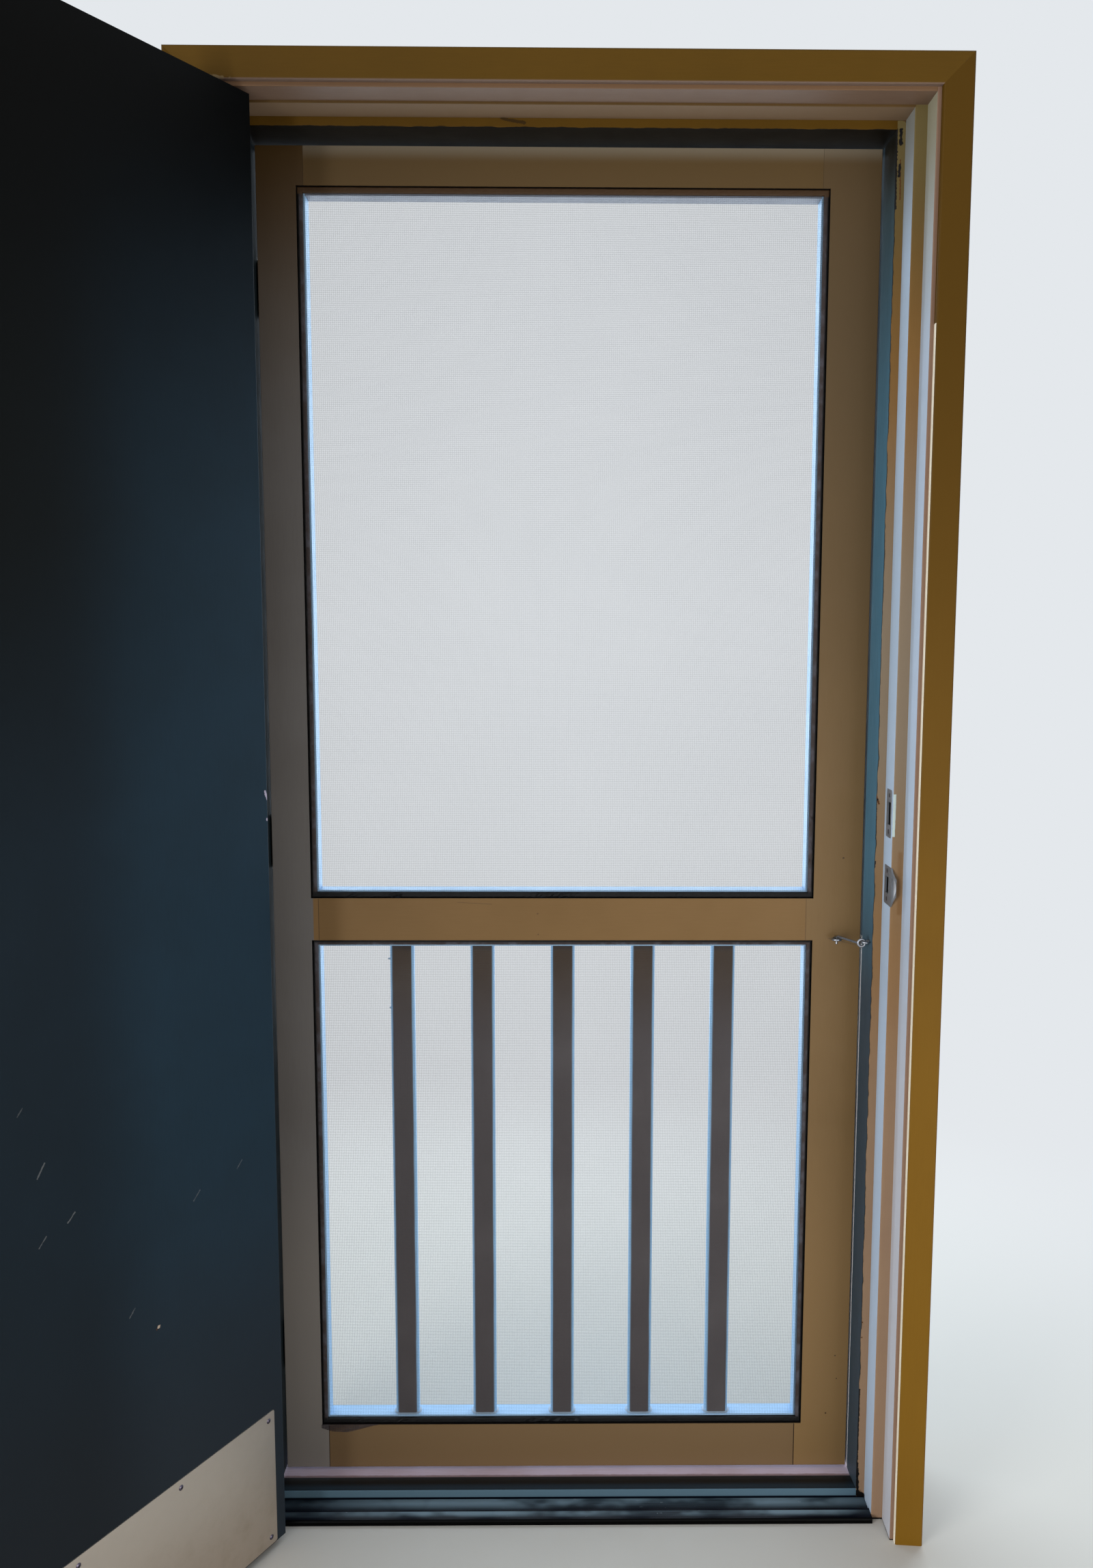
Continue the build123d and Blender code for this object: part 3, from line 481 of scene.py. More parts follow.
@dataclass(frozen=True)
class Enamel(Finish):
    """Brushed enamel on timber.

    Attributes:
        brush: Depth of the brush marks in millimetres.
        cloud: How much the tone drifts over the board, from 0 to 1.
        drift: Size of the drifts.
        streak: Width of a brush mark.
        peel: Size of the orange peel.
        blotch: Size of the patches that are more or less matt.
    """

    brush: float = 0.06
    cloud: float = 0.5
    drift: float = 160.0
    streak: float = 1.6
    peel: float = 2.4
    blotch: float = 45.0

    def coat(self, shader: Shader, place: Socket, streaks: Num) -> Socket:
        """The paint's colour before its marks.

        Args:
            shader: The material's tree.
            place: The point on the surface.
            streaks: The brush marks.

        Returns:
            The colour.
        """
        drift = shader.noise(place, self.drift, detail=3)
        soil = (drift.rise(0.35, 0.75) * self.cloud + streaks.rise(0.3, 0.8) * 0.3).least(1.0)
        colour = shader.mix(soil, self.colour, self.shade)
        return self.lay(shader, place, colour, self.zones)

    def paint(self, shader: Shader) -> None:
        """Brush marks along the board over a faint orange peel.

        Args:
            shader: The material's tree.
        """
        place = self.place(shader)
        streaks = shader.noise(place, self.streak, stretch=self.along.value, detail=3)
        peel = shader.noise(place, self.peel, detail=1, shift=7.0)
        blotch = shader.noise(place, self.blotch, detail=2, shift=3.0)
        colour = self.lay(shader, place, self.coat(shader, place, streaks), self.marks)
        rough = blotch * 0.16 + streaks * 0.08 + (self.roughness - 0.12)
        normal = shader.relief(streaks * 0.7 + peel * 0.3, self.brush)
        shader.surface(Base_Color=colour, Roughness=rough, Normal=normal,
                       Specular_IOR_Level=self.gloss)


@dataclass(frozen=True)
class JambEnamel(Enamel):
    """Cream enamel on the room side that stops at a wavy line where the outdoor teal begins.

    Attributes:
        outdoor: The teal.
        lap_and_shade: The dark line where one coat runs over the other, with painted shade at that
            corner.
        stop: How far the stop faces stand from the middle of the doorway.
        head: Height of the head's stop.
        wander: How far the line strays in all.
        far: Zones of the teal.
    """

    outdoor: Colour = srgb(74, 110, 128)
    lap_and_shade: Colour = srgb(30, 33, 32)
    stop: float = 450.0
    head: float = 2029.0
    wander: float = 6.0
    far: tuple[Zone, ...] = ()

    def coat(self, shader: Shader, place: Socket, streaks: Num) -> Socket:
        """Cream, then teal beyond the line; a thin dark line, partly painted shade, where the two coats
        meet.

        Args:
            shader: The material's tree.
            place: The point on the surface.
            streaks: The brush marks.

        Returns:
            The colour.
        """
        cream = super().coat(shader, place, streaks)
        teal = shader.mix(streaks.rise(0.3, 0.8) * 0.2, self.outdoor, self.lap_and_shade)
        teal = self.lay(shader, place, teal, self.far)
        across, out, height = shader.axes(place)
        inward = (abs(across) - self.stop).most(0.0) + (height - self.head).most(0.0)
        stray = (shader.noise(place, 26, detail=3, shift=5.0) - 0.5) * self.wander
        beyond = out - inward + stray
        # Painted shade: the thin dark line along the corner where the cream meets the teal.
        lap_shaded = shader.mix(beyond.rise(-1.5, -0.2), cream, self.lap_and_shade)
        return shader.mix(beyond.rise(0.3, 1.2), lap_shaded, teal)


@dataclass(frozen=True)
class BarEnamel(Enamel):
    """Enamel of the upright bars: painted shade on the room side, painted daylight round their edges.

    Attributes:
        edge: The pale colour of the painted daylight round the edges.
        first: Where the bars are counted from.
        pitch: From bar to bar.
        dark_half: Half the width of the dark room face.
        dark_depth: How far out the dark face reaches.
    """

    edge: Colour = srgb(162, 206, 242)
    first: float = LEFT_JOINT
    pitch: float = BAR_PITCH
    dark_half: float = 14.6
    dark_depth: float = 79.5

    def coat(self, shader: Shader, place: Socket, streaks: Num) -> Socket:
        """Painted shade in the middle of the room face, a painted highlight beyond it.

        Args:
            shader: The material's tree.
            place: The point on the surface.
            streaks: The brush marks.

        Returns:
            The colour.
        """
        across, out, _ = shader.axes(place)
        off = (across - self.first).wave(self.pitch)
        stray = (shader.noise(place, 14, stretch=(1, 1, 6), detail=2, shift=1.0) - 0.5) * 1.6
        beside = (off + stray).rise(self.dark_half - 0.8, self.dark_half + 1.6)
        behind = out.rise(self.dark_depth - 0.8, self.dark_depth + 0.8)
        # Painted shade on the room face, painted daylight round the edges and behind.
        return shader.mix(beside.most(behind), super().coat(shader, place, streaks), self.edge)


@dataclass(frozen=True)
class Metal(Finish):
    """Metal with a fine grain and dull smears.

    Attributes:
        grain: Width of one line of the grain in millimetres.
        smear: How much the smears dull it.
        patch: Size of the smears.
    """

    grain: float = 0.25
    smear: float = 0.2
    patch: float = 30.0

    def paint(self, shader: Shader) -> None:
        """Hairlines along the grain, and smears that darken and dull it.

        Args:
            shader: The material's tree.
        """
        place = self.place(shader)
        lines = shader.noise(place, self.grain, stretch=self.along.value, detail=2)
        smears = shader.noise(place, self.patch, detail=4, shift=2.0)
        soil = (smears.rise(0.4, 0.8) * 0.7 + lines * 0.3).least(1.0)
        colour = shader.mix(soil, self.colour, self.shade)
        colour = self.lay(shader, place, colour, self.zones)
        colour = self.lay(shader, place, colour, self.marks)
        rough = lines * 0.12 + smears * self.smear + (self.roughness - 0.1)
        shader.surface(Base_Color=colour, Metallic=1.0, Roughness=rough,
                       Normal=shader.relief(lines, 0.01))


@dataclass(frozen=True)
class SillEnamel(Enamel):
    """Dark gloss enamel on the sill, with painted highlights along its crests and scuffs in them.

    Attributes:
        crests: For each crest, Y of its dark front, of its palest line and of its back.
        middle: X that the highlights are centred on.
        sheen_reach: How far from there they are strongest.
        fade: How much further out they still show.
        patch: Size of the highlight patches.
        chip: Colour of the small chips.
    """

    crests: tuple[Point, ...] = ((-51.0, -39.5, -36.0), (-31.0, -8.5, -2.5))
    middle: float = 60.0
    sheen_reach: float = 250.0
    fade: float = 260.0
    patch: float = 75.0
    chip: Colour = srgb(150, 160, 166)

    def paint(self, shader: Shader) -> None:
        """Painted highlights along the crests in long soft patches, and dark between them.

        Args:
            shader: The material's tree.
        """
        place = self.place(shader)
        scuffs = shader.noise(place, 3.0, stretch=Along.ACROSS.value, detail=4)
        patches = shader.noise(place, self.patch, stretch=(1.6, 1, 1), detail=3, shift=4.0)
        across, out, _ = shader.axes(place)
        # Painted highlight: pale along each crest where the gloss mirrors daylight, with scuff streaks.
        crest_sheen: Num | float = 0.0
        for front, crest, back in self.crests:
            crest_sheen = out.rise(front, crest) * out.rise(back + 0.8, back - 0.8) + crest_sheen
        aside = abs(across - self.middle).rise(self.sheen_reach, self.sheen_reach + self.fade)
        crest_sheen = crest_sheen * (1 - aside * 0.8)
        sheen_and_scuffs = (patches.rise(0.4, 0.58) * 0.8 + scuffs * 0.35) * crest_sheen
        colour = shader.mix(sheen_and_scuffs.least(0.95), self.colour, self.shade)
        chips = shader.noise(place, 5, stretch=(2, 1, 1), detail=2, shift=8.0).rise(0.72, 0.76)
        colour = shader.mix(chips * 0.6 * crest_sheen, colour, self.chip)
        rough = sheen_and_scuffs * 0.2 + scuffs * 0.12 + (self.roughness - 0.05)
        colour = self.lay(shader, place, colour, self.zones)
        colour = self.lay(shader, place, colour, self.marks)
        shader.surface(Base_Color=colour, Roughness=rough, Specular_IOR_Level=self.gloss,
                       Normal=shader.relief(scuffs, self.brush))


@dataclass(frozen=True)
class InsectMesh(Finish):
    """Woven insect mesh, seen as its threads and the air between them.

    Attributes:
        pitch: From thread to thread in millimetres.
        thread: Width of a thread.
    """

    pitch: float = 1.5
    thread: float = 0.13

    def paint(self, shader: Shader) -> None:
        """Threads both ways; the rest of the sheet lets the light through.

        Args:
            shader: The material's tree.
        """
        place = self.place(shader)
        across, _, up = shader.axes(place)
        half = self.thread / 2
        threads = across.wave(self.pitch).rise(half * 1.3, half * 0.7).most(
            up.wave(self.pitch).rise(half * 1.3, half * 0.7))
        dust = shader.noise(place, 120, detail=4)
        colour = shader.mix(dust.rise(0.4, 0.75), self.colour, self.shade)
        shader.surface(Base_Color=colour, Alpha=threads, Roughness=self.roughness)


@dataclass(frozen=True)
class Rubber(Finish):
    """Old rubber bead: black and painted shade along the wood, dusty and brushed over with paint on its
    crown.

    Attributes:
        crown: The dusty crown.
        outer: Least and greatest X and Z of the bead's outer edge.
        line: Width of the black line along the wood, where painted shade lies in the rebate's corner.
        foot: Its width along the lower edge.
    """

    crown: Colour = srgb(54, 45, 43)
    outer: tuple[float, float, float, float] = (-389.6, 373.6, 83.4, 872.6)
    line: float = 3.0
    foot: float = 9.0

    def paint(self, shader: Shader) -> None:
        """Black next to the wood, partly painted shade, then the crown with its dust and torn places.

        Args:
            shader: The material's tree.
        """
        place = self.place(shader)
        across, _, up = shader.axes(place)
        left, right, low, high = self.outer
        edge = (across - left).least(right - across).least((high - up) * 0.8)
        edge = edge.least((up - low) * (self.line / self.foot))
        patches = shader.noise(place, 22, detail=4)
        dust = shader.noise(place, 4, detail=3, shift=9.0)
        crown = shader.mix(patches.rise(0.42, 0.66) * 0.6, self.crown, self.shade)
        crown = shader.mix(dust.rise(0.56, 0.8) * 0.35, crown, self.colour)
        stray = (dust - 0.5) * 1.2
        # Painted shade: black along the wood, wider along the lower edge.
        colour = shader.mix((edge + stray).rise(self.line - 0.5, self.line + 0.7), self.colour, crown)
        colour = self.lay(shader, place, colour, self.zones)
        colour = self.lay(shader, place, colour, self.marks)
        shader.surface(Base_Color=colour, Specular_IOR_Level=self.gloss,
                       Roughness=dust * 0.2 + self.roughness, Normal=shader.relief(dust, 0.2))


def piece_of(name: str, shape: bmesh.types.BMesh) -> bpy.types.Object:
    """Makes a scene object of a finished shape, at the origin.

    Args:
        name: The piece's name.
        shape: Its mesh in metres, freed here.

    Returns:
        The new object.
    """
    data = bpy.data.meshes.new(name)
    shape.to_mesh(data)
    shape.free()
    piece = bpy.data.objects.new(name, data)
    bpy.context.scene.collection.objects.link(piece)
    return piece


@dataclass(frozen=True)
class Screw:
    """Head of a cross-recessed screw, in millimetres.

    Attributes:
        radius: Radius of the head.
        rise: How far the crown stands out.
        rim: How far the rim stands out.
        slot: Width of one bar of the recess.
        sunk: How far the head reaches into the wood or plate.
        reach: Length of one bar of the recess, as a share of the radius.
        recess: Height of the recess, half of it below the crown.
        taper: How much of its width is left at its floor.
    """

    radius: float
    rise: float
    rim: float = 0.1
    slot: float = 0.9
    sunk: float = 1.5
    reach: float = 1.15
    recess: float = 1.6
    taper: float = 0.55

    def head(self) -> bpy.types.Mesh:
        """Makes the head and cuts its recess in.

        Returns:
            Its mesh, crown along +Z.
        """
        shape = bmesh.new()
        dome = self.rim + (self.rise - self.rim) * 0.8
        section = [(self.radius * 0.96, -self.sunk), (self.radius, self.rim * 0.5),
                   (self.radius * 0.9, self.rim), (self.radius * 0.5, dome), (0.0, self.rise)]
        points = [shape.verts.new((across * MM, 0, up * MM)) for across, up in section]
        edges = [shape.edges.new(pair) for pair in zip(points, points[1:])]
        bmesh.ops.spin(shape, geom=points + edges, cent=(0, 0, 0), axis=(0, 0, 1), angle=math.tau,
                       steps=20, use_merge=True)
        bmesh.ops.remove_doubles(shape, verts=shape.verts, dist=1e-6)
        bmesh.ops.holes_fill(shape, edges=shape.edges, sides=24)
        bmesh.ops.recalc_face_normals(shape, faces=shape.faces)
        piece = piece_of("screw_head", shape)
        for turn in (0.0, math.pi / 2):
            self.cut(piece, turn)
        finished = piece.evaluated_get(bpy.context.evaluated_depsgraph_get())
        data = bpy.data.meshes.new_from_object(finished)
        for cutter in [modifier.object for modifier in piece.modifiers]:
            bpy.data.objects.remove(cutter)
        bpy.data.objects.remove(piece)
        return data

    def cut(self, piece: bpy.types.Object, turn: float) -> None:
        """Takes one bar of the recess out of the head.

        Args:
            piece: The head.
            turn: Which way the bar runs, in radians.
        """
        shape = bmesh.new()
        bmesh.ops.create_cube(shape, size=MM)
        bmesh.ops.scale(shape, vec=(self.radius * self.reach, self.slot, self.recess),
                        verts=shape.verts)
        bmesh.ops.translate(shape, vec=(0, 0, self.rise * MM), verts=shape.verts)
        bmesh.ops.rotate(shape, cent=(0, 0, 0), matrix=Matrix.Rotation(turn, 3, "Z"),
                         verts=shape.verts)
        low = [vert for vert in shape.verts if vert.co.z < self.rise * MM]
        bmesh.ops.scale(shape, vec=(self.taper, self.taper, 1), verts=low)
        modifier = piece.modifiers.new("recess", "BOOLEAN")
        modifier.operation = "DIFFERENCE"
        modifier.solver = "EXACT"
        modifier.object = piece_of("recess", shape)

    def drive(self, name: str, seats: list[Seat], chance: random.Random) -> bpy.types.Object:
        """Sets one screw on each seat, each turned its own way.

        Args:
            name: Name of the piece that the screws make together.
            seats: For each screw, the point on the surface in metres and the way out of it.
            chance: Where the turn of each screw comes from.

        Returns:
            The piece.
        """
        head = self.head()
        shape = bmesh.new()
        for point, out in seats:
            first = len(shape.verts)
            shape.from_mesh(head)
            shape.verts.ensure_lookup_table()
            spin = Matrix.Rotation(chance.uniform(0, math.pi), 3, "Z")
            turn = out.to_track_quat("Z", "Y").to_matrix() @ spin
            mine = shape.verts[first:]
            bmesh.ops.rotate(shape, cent=(0, 0, 0), matrix=turn, verts=mine)
            bmesh.ops.translate(shape, vec=point, verts=mine)
        bpy.data.meshes.remove(head)
        return piece_of(name, shape)


def entry_swing() -> Matrix:
    """Works out how the entry door stands.

    Returns:
        The turn about its hinge pin from closed to where it stands.
    """
    hung = next(item for item in frame["joints"] if item["name"] == "entry_swing")
    pin = Vector(hung["pos_m"])
    turn = Matrix.Rotation(math.radians(-OPEN_TURN), 4, "Z")
    return Matrix.Translation(pin) @ turn @ Matrix.Translation(-pin)


CLOSED = entry_swing().inverted()

# Painted highlight: the daylight on the side casings' inner edges.
CASING_EDGE_HIGHLIGHT = srgb(236, 226, 204)
# Painted daylight: the pale blue-white of the jamb's rabbet faces into the doorway.
PAINTED_DAYLIGHT_REVEAL = srgb(174, 190, 208)
BARE_WOOD = srgb(92, 58, 30)
# Near black: marks on the stop and the jamb feet; painted shade on the screen door's rebate walls.
GRIME_AND_SHADE = srgb(16, 13, 12)
# Painted shade: the insides of the strike pockets.
POCKET_SHADE = srgb(14, 11, 9)
CHIP = srgb(26, 24, 24)
SCUFF = srgb(116, 118, 120)
LILAC_CHIP = srgb(186, 176, 196)
DAYLIT = srgb(166, 205, 240)
OUTDOORS = srgb(92, 118, 138)
JOINT_LINE = srgb(44, 30, 16)
PINHOLE = srgb(60, 44, 28)
HINGE_STEEL = Metal("hinge_steel", "hinge_metal", srgb(142, 138, 130), srgb(104, 98, 90),
                    roughness=0.4)
ZINC_WIRE = Metal("eye_zinc", "zinc_wire", srgb(164, 166, 172), srgb(112, 112, 114), roughness=0.35)
CASING_MARKS = (Mark((-465, -101, 2052), (-419, -101, 2042), 9, srgb(150, 132, 100), 0.5),
                Mark((484.9, -102, 2049.9), (524.9, -102, 2089.9), 0.7, srgb(70, 52, 24), 0.8, 0.2))
# Beyond them, and on the lock stile's outer edge, the outdoor paint.
# Painted shade on the rebate walls and painted daylight on the reveals beyond the mesh.
SCREEN_BACK = (Zone(GRIME_AND_SHADE, y=(63.3, 71.25), soft=0.4), Zone(DAYLIT, y=(71.3, FAR), soft=0.3),
               Zone(OUTDOORS, y=(96.9, FAR), soft=0.3),
               Zone(OUTDOORS, x=(446.4, FAR), y=(66.0, FAR), soft=0.3))
LOW_JOINT, MIDDLE_JOINT, TOP_JOINT = (10, 82), (874, 937), (1973, 2026)


def joint(x: float, span: Span, width: float, share: float) -> Mark:
    """The line where a rail meets a stile.

    Args:
        x: Where the joint is.
        span: Its least and greatest height.
        width: How wide the line is.
        share: How much of it shows.

    Returns:
        The line's mark.
    """
    return Mark((x, SCREEN_FRONT, span[0]), (x, SCREEN_FRONT, span[1]), width, JOINT_LINE, share, 0.1)


def scuff(start: Span, end: Span, width: float, share: float) -> Mark:
    """A scuff on the entry door's outdoor face, from one X and Z to another."""
    return Mark((start[0], LEAF_OUT, start[1]), (end[0], LEAF_OUT, end[1]), width, SCUFF, share)


def stop_mark(start: Span, end: Span, width: float, colour: Colour) -> Mark:
    """A mark on the jamb's stop, from one X and Z to another."""
    return Mark((start[0], 0, start[1]), (end[0], 0, end[1]), width, colour)


def stop_spot(place: Span, width: float, colour: Colour) -> Mark:
    """A round mark on the jamb's stop, at an X and Z."""
    return stop_mark(place, place, width, colour)


@dataclass
class DoorFrame:
    """The frame: jambs, extension, casing, sill, strikes and outdoor trim.

    Attributes:
        strike_depth: Y of the middle of the strikes.
        rabbet: How far the jambs stand from the middle of the doorway beside the entry door.
        stop: How far their stop faces stand from it.
        strikes: Height of each strike and how far its screws stand from there.
    """

    strike_depth: float = (LEAF_IN + LEAF_OUT) / 2
    rabbet: float = 462.5
    stop: float = 450.0
    strikes: tuple[Span, ...] = ((BOLT_HEIGHT, 26.5), (KNOB_HEIGHT, 20.5))
    casing: Enamel = Enamel(
        "casing_enamel", "frame_paint", srgb(114, 81, 18), srgb(106, 74, 14), gloss=0.12,
        # Painted shade: darker towards the top. Painted highlight on the inner edges.
        zones=(Zone(srgb(80, 55, 6), z=(1200, FAR), soft=1250),
               Zone(CASING_EDGE_HIGHLIGHT, x=(-FAR, 485.3), z=(-FAR, 1750), soft=0.5)),
        marks=CASING_MARKS)
    # The head casing is painted darker than the side casings: painted shade.
    level_casing: Enamel = Enamel(
        "level_casing_enamel", "frame_paint", srgb(90, 64, 14), srgb(82, 58, 11), along=Along.ACROSS,
        gloss=0.12,
        # Its lower edge is painted lighter and greyer, as lit: painted light.
        zones=(Zone(srgb(116, 96, 84), z=(-FAR, 2051), soft=1.0),),
        marks=CASING_MARKS)
    jamb: JambEnamel = JambEnamel(
        "jamb_enamel", "jamb_paint", srgb(141, 102, 55), srgb(131, 92, 46), gloss=0.12,
        # Painted daylight: this teal is lighter than the left jamb's.
        outdoor=srgb(74, 117, 138),
        # Painted light: lighter about mid height and darker towards the top.
        # The rabbet faces are painted pale as daylit, and paler still low down.
        zones=(Zone(srgb(140, 121, 99), z=(1000, 1550), soft=400),
               Zone(srgb(98, 80, 44), z=(1820, FAR), soft=420),
               Zone(PAINTED_DAYLIGHT_REVEAL, x=(462.1, FAR), y=(-45.2, -0.6)),
               Zone(srgb(186, 186, 190), x=(462.1, FAR), y=(-45.2, -0.6), z=(-FAR, 800), soft=500),
               Zone(srgb(112, 99, 64), z=(1935, FAR), soft=230, share=0.75),
               Zone(srgb(120, 82, 44), x=(472, 478), y=(-FAR, -45.0), z=(938, 1030), soft=4,
                    wander=2, share=0.6),
               Zone(srgb(188, 202, 196), x=(462.3, 466.2), y=(-FAR, -45.0), z=(1052, 1113), soft=1,
                    wander=1),
               # Painted shade inside the strike pockets.
               Zone(POCKET_SHADE, x=(464.2, 488), y=(-44.0, -2.0), z=(940, 1130), soft=0.4),
               Zone(GRIME_AND_SHADE, y=(-FAR, -45.0), z=(-FAR, 2.5), soft=1.5, wander=1.5)),
        # Painted daylight: the white strip in the gap beside the screen door's lower half.
        # Painted shade on the teal: darker low down and towards the top, near black at the top.
        far=(Zone(srgb(55, 68, 78), z=(-FAR, 900), soft=250),
             Zone(srgb(52, 64, 66), z=(1800, FAR), soft=500),
             Zone(srgb(26, 24, 18), z=(1965, FAR), soft=90),
             Zone(srgb(255, 246, 242), y=(63, 76), z=(-FAR, 880), soft=1.5),
             Zone(srgb(66, 88, 100), y=(63, FAR), z=(880, FAR), soft=1.5)),
        marks=(stop_mark((448, 1110), (453.5, 1093), 3.0, BARE_WOOD), stop_spot((451.5, 1099), 4, GRIME_AND_SHADE),
               stop_mark((450.4, 1092), (450.2, 1040), 1.8, CHIP),
               stop_mark((450.3, 1007), (450.2, 998), 3, CHIP),
               stop_mark((450.6, 2031), (451.4, 1925), 3.2, CHIP),
               stop_mark((456.5, 2011), (457, 2029), 6, CHIP),
               stop_mark((456.5, 1990), (457.5, 1938), 2.2, BARE_WOOD),
               stop_mark((455.2, 1969), (455.6, 1983), 4.5, CHIP),
               stop_mark((461, 2046), (463.5, 2041), 5, CHIP), stop_spot((462, 2044), 7, BARE_WOOD),
               stop_spot((447.6, 2031), 5, CHIP), stop_spot((452.6, 290), 3, BARE_WOOD),
               stop_spot((452, 266), 3, BARE_WOOD), stop_spot((451.6, 137), 2.6, BARE_WOOD),
               stop_mark((450, 58), (453, 10), 6, GRIME_AND_SHADE), stop_mark((452, 10), (462, 2), 14, GRIME_AND_SHADE),
               stop_mark((450.8, 180), (450.2, 50), 3, CHIP)))
    # The left jamb's teal is painted darker: painted shade.
    left_jamb: JambEnamel = replace(
        jamb, name="left_jamb_enamel", marks=(), outdoor=srgb(26, 34, 38), far=())
    # Its rabbet face is greyer than the side jambs' painted daylight.
    # The head jamb is painted darker than the side jambs: painted shade on its undersides.
    level_jamb: JambEnamel = JambEnamel(
        "level_jamb_enamel", "jamb_paint", srgb(88, 62, 14), srgb(80, 56, 12), along=Along.ACROSS,
        gloss=0.12, outdoor=srgb(16, 12, 6), lap_and_shade=srgb(9, 6, 3),
        zones=(Zone(srgb(124, 102, 80), y=(-45.2, -0.6), z=(2041.0, FAR)),
               Zone(srgb(88, 66, 36), y=(-FAR, -45.2))),
        marks=(Mark((-93, 0, 2041), (-62, 0, 2035), 5, srgb(44, 30, 12), 0.8),))
    # Painted daylight: pale blue-white on faces into the doorway, lighter below, darker towards the top.
    extension: Enamel = Enamel(
        "extension_enamel", "jamb_paint", srgb(178, 192, 210), srgb(168, 182, 198),
        zones=(Zone(srgb(188, 188, 194), z=(-FAR, 800), soft=500),
               Zone(srgb(150, 144, 122), z=(1850, FAR), soft=400),
               Zone(srgb(128, 100, 82), y=(-FAR, -89.2)),
               Zone(GRIME_AND_SHADE, z=(-FAR, 1.5), soft=1.5, wander=1.0)))
    # Greyer and darker than the side extensions: painted shade on the head's underside.
    level_extension: Enamel = Enamel(
        "level_extension_enamel", "jamb_paint", srgb(115, 92, 76), srgb(106, 83, 66), along=Along.ACROSS,
        zones=(Zone(srgb(112, 84, 60), y=(-FAR, -89.2)),))
    trim: Enamel = Enamel("trim_enamel", "outdoor_paint", srgb(66, 91, 104), srgb(50, 70, 78))
    level_trim: Enamel = replace(trim, name="level_trim_enamel", along=Along.ACROSS)
    # Its second colour is the painted highlight; the black nosing front is painted shade.
    sill: SillEnamel = SillEnamel(
        "sill_enamel", "sill_paint", srgb(7, 11, 22), srgb(124, 145, 156), roughness=0.3, gloss=0.07,
        brush=0.05,
        zones=(Zone(srgb(27, 27, 26), y=(1.0, FAR), z=(8, FAR), soft=0.8),
               Zone(srgb(40, 57, 68), y=(1.0, 17), z=(8, FAR), soft=16),
               Zone(srgb(82, 106, 120), y=(-0.6, 1.4), z=(4.8, 16.3), soft=0.8),
               Zone(srgb(1, 1, 1), y=(-FAR, -52.6), soft=1.6)))
    # Near white: painted daylight on the outer sill; browner along its front.
    outer_sill: Enamel = Enamel(
        "outer_sill_enamel", "outer_sill_paint", srgb(246, 230, 252), srgb(214, 188, 196),
        along=Along.ACROSS, roughness=0.45, brush=0.15, cloud=0.6,
        zones=(Zone(srgb(150, 116, 112), y=(-FAR, 46), soft=4, wander=2, share=0.8),))
    strike: Metal = Metal("strike_steel", "lock_steel", srgb(142, 144, 148), srgb(98, 96, 96),
                          roughness=0.5)
    strike_screw: Metal = Metal("strike_screw_steel", "lock_steel", srgb(84, 82, 88), srgb(52, 48, 50),
                                roughness=0.35)
    eye: Metal = ZINC_WIRE
    hinge: Metal = replace(HINGE_STEEL, name="jamb_hinge_steel")

    def dress(self) -> None:
        """Gives each solid of the frame its finish."""
        self.jamb.on_nodes("jamb_right")
        self.left_jamb.on_nodes("jamb_left")
        self.level_jamb.on_nodes("jamb_head")
        self.extension.on_nodes("extension_left", "extension_right")
        self.level_extension.on_nodes("extension_head")
        self.casing.on_nodes("casing_left", "casing_right")
        self.level_casing.on_nodes("casing_head")
        self.trim.on_nodes("outdoor_trim_left", "outdoor_trim_right")
        self.level_trim.on_nodes("outdoor_trim_head")
        self.sill.on_nodes("threshold", "sill")
        self.outer_sill.on_nodes("outer_sill")
        self.strike.on_nodes("deadbolt_strike", "latch_strike")
        self.eye.on_nodes("jamb_eye")

    def build(self) -> None:
        """Adds the screws of the strikes and of the hinge leaves on the jamb."""
        chance = random.Random(3)
        left, right = Vector((-1, 0, 0)), Vector((1, 0, 0))
        seats = [(Vector((self.rabbet, self.strike_depth, middle + way * reach)) * MM, left)
                 for middle, reach in self.strikes for way in (1, -1)]
        screw = Screw(radius=3.6, rise=0.4)
        self.strike_screw.on_piece(screw.drive("strike_screws", seats, chance), "frame")
        seats = [(Vector((-self.rabbet, depth, low + up)) * MM, right)
                 for low in HINGE_LOWS for depth, up in HINGE_HOLES]
        screw = Screw(radius=4.0, rise=0.3)
        self.hinge.on_piece(screw.drive("hinge_jamb_screws", seats, chance), "frame")
        seats = [(Vector((-self.stop, SCREEN_HINGE_MIDDLE, low + up)) * MM, right)
                 for low in SCREEN_HINGE_LOWS for up in SCREEN_HINGE_HOLES]
        screw = Screw(radius=3.2, rise=0.2, slot=0.7)
        self.hinge.on_piece(screw.drive("screen_hinge_jamb_screws", seats, chance), "frame")


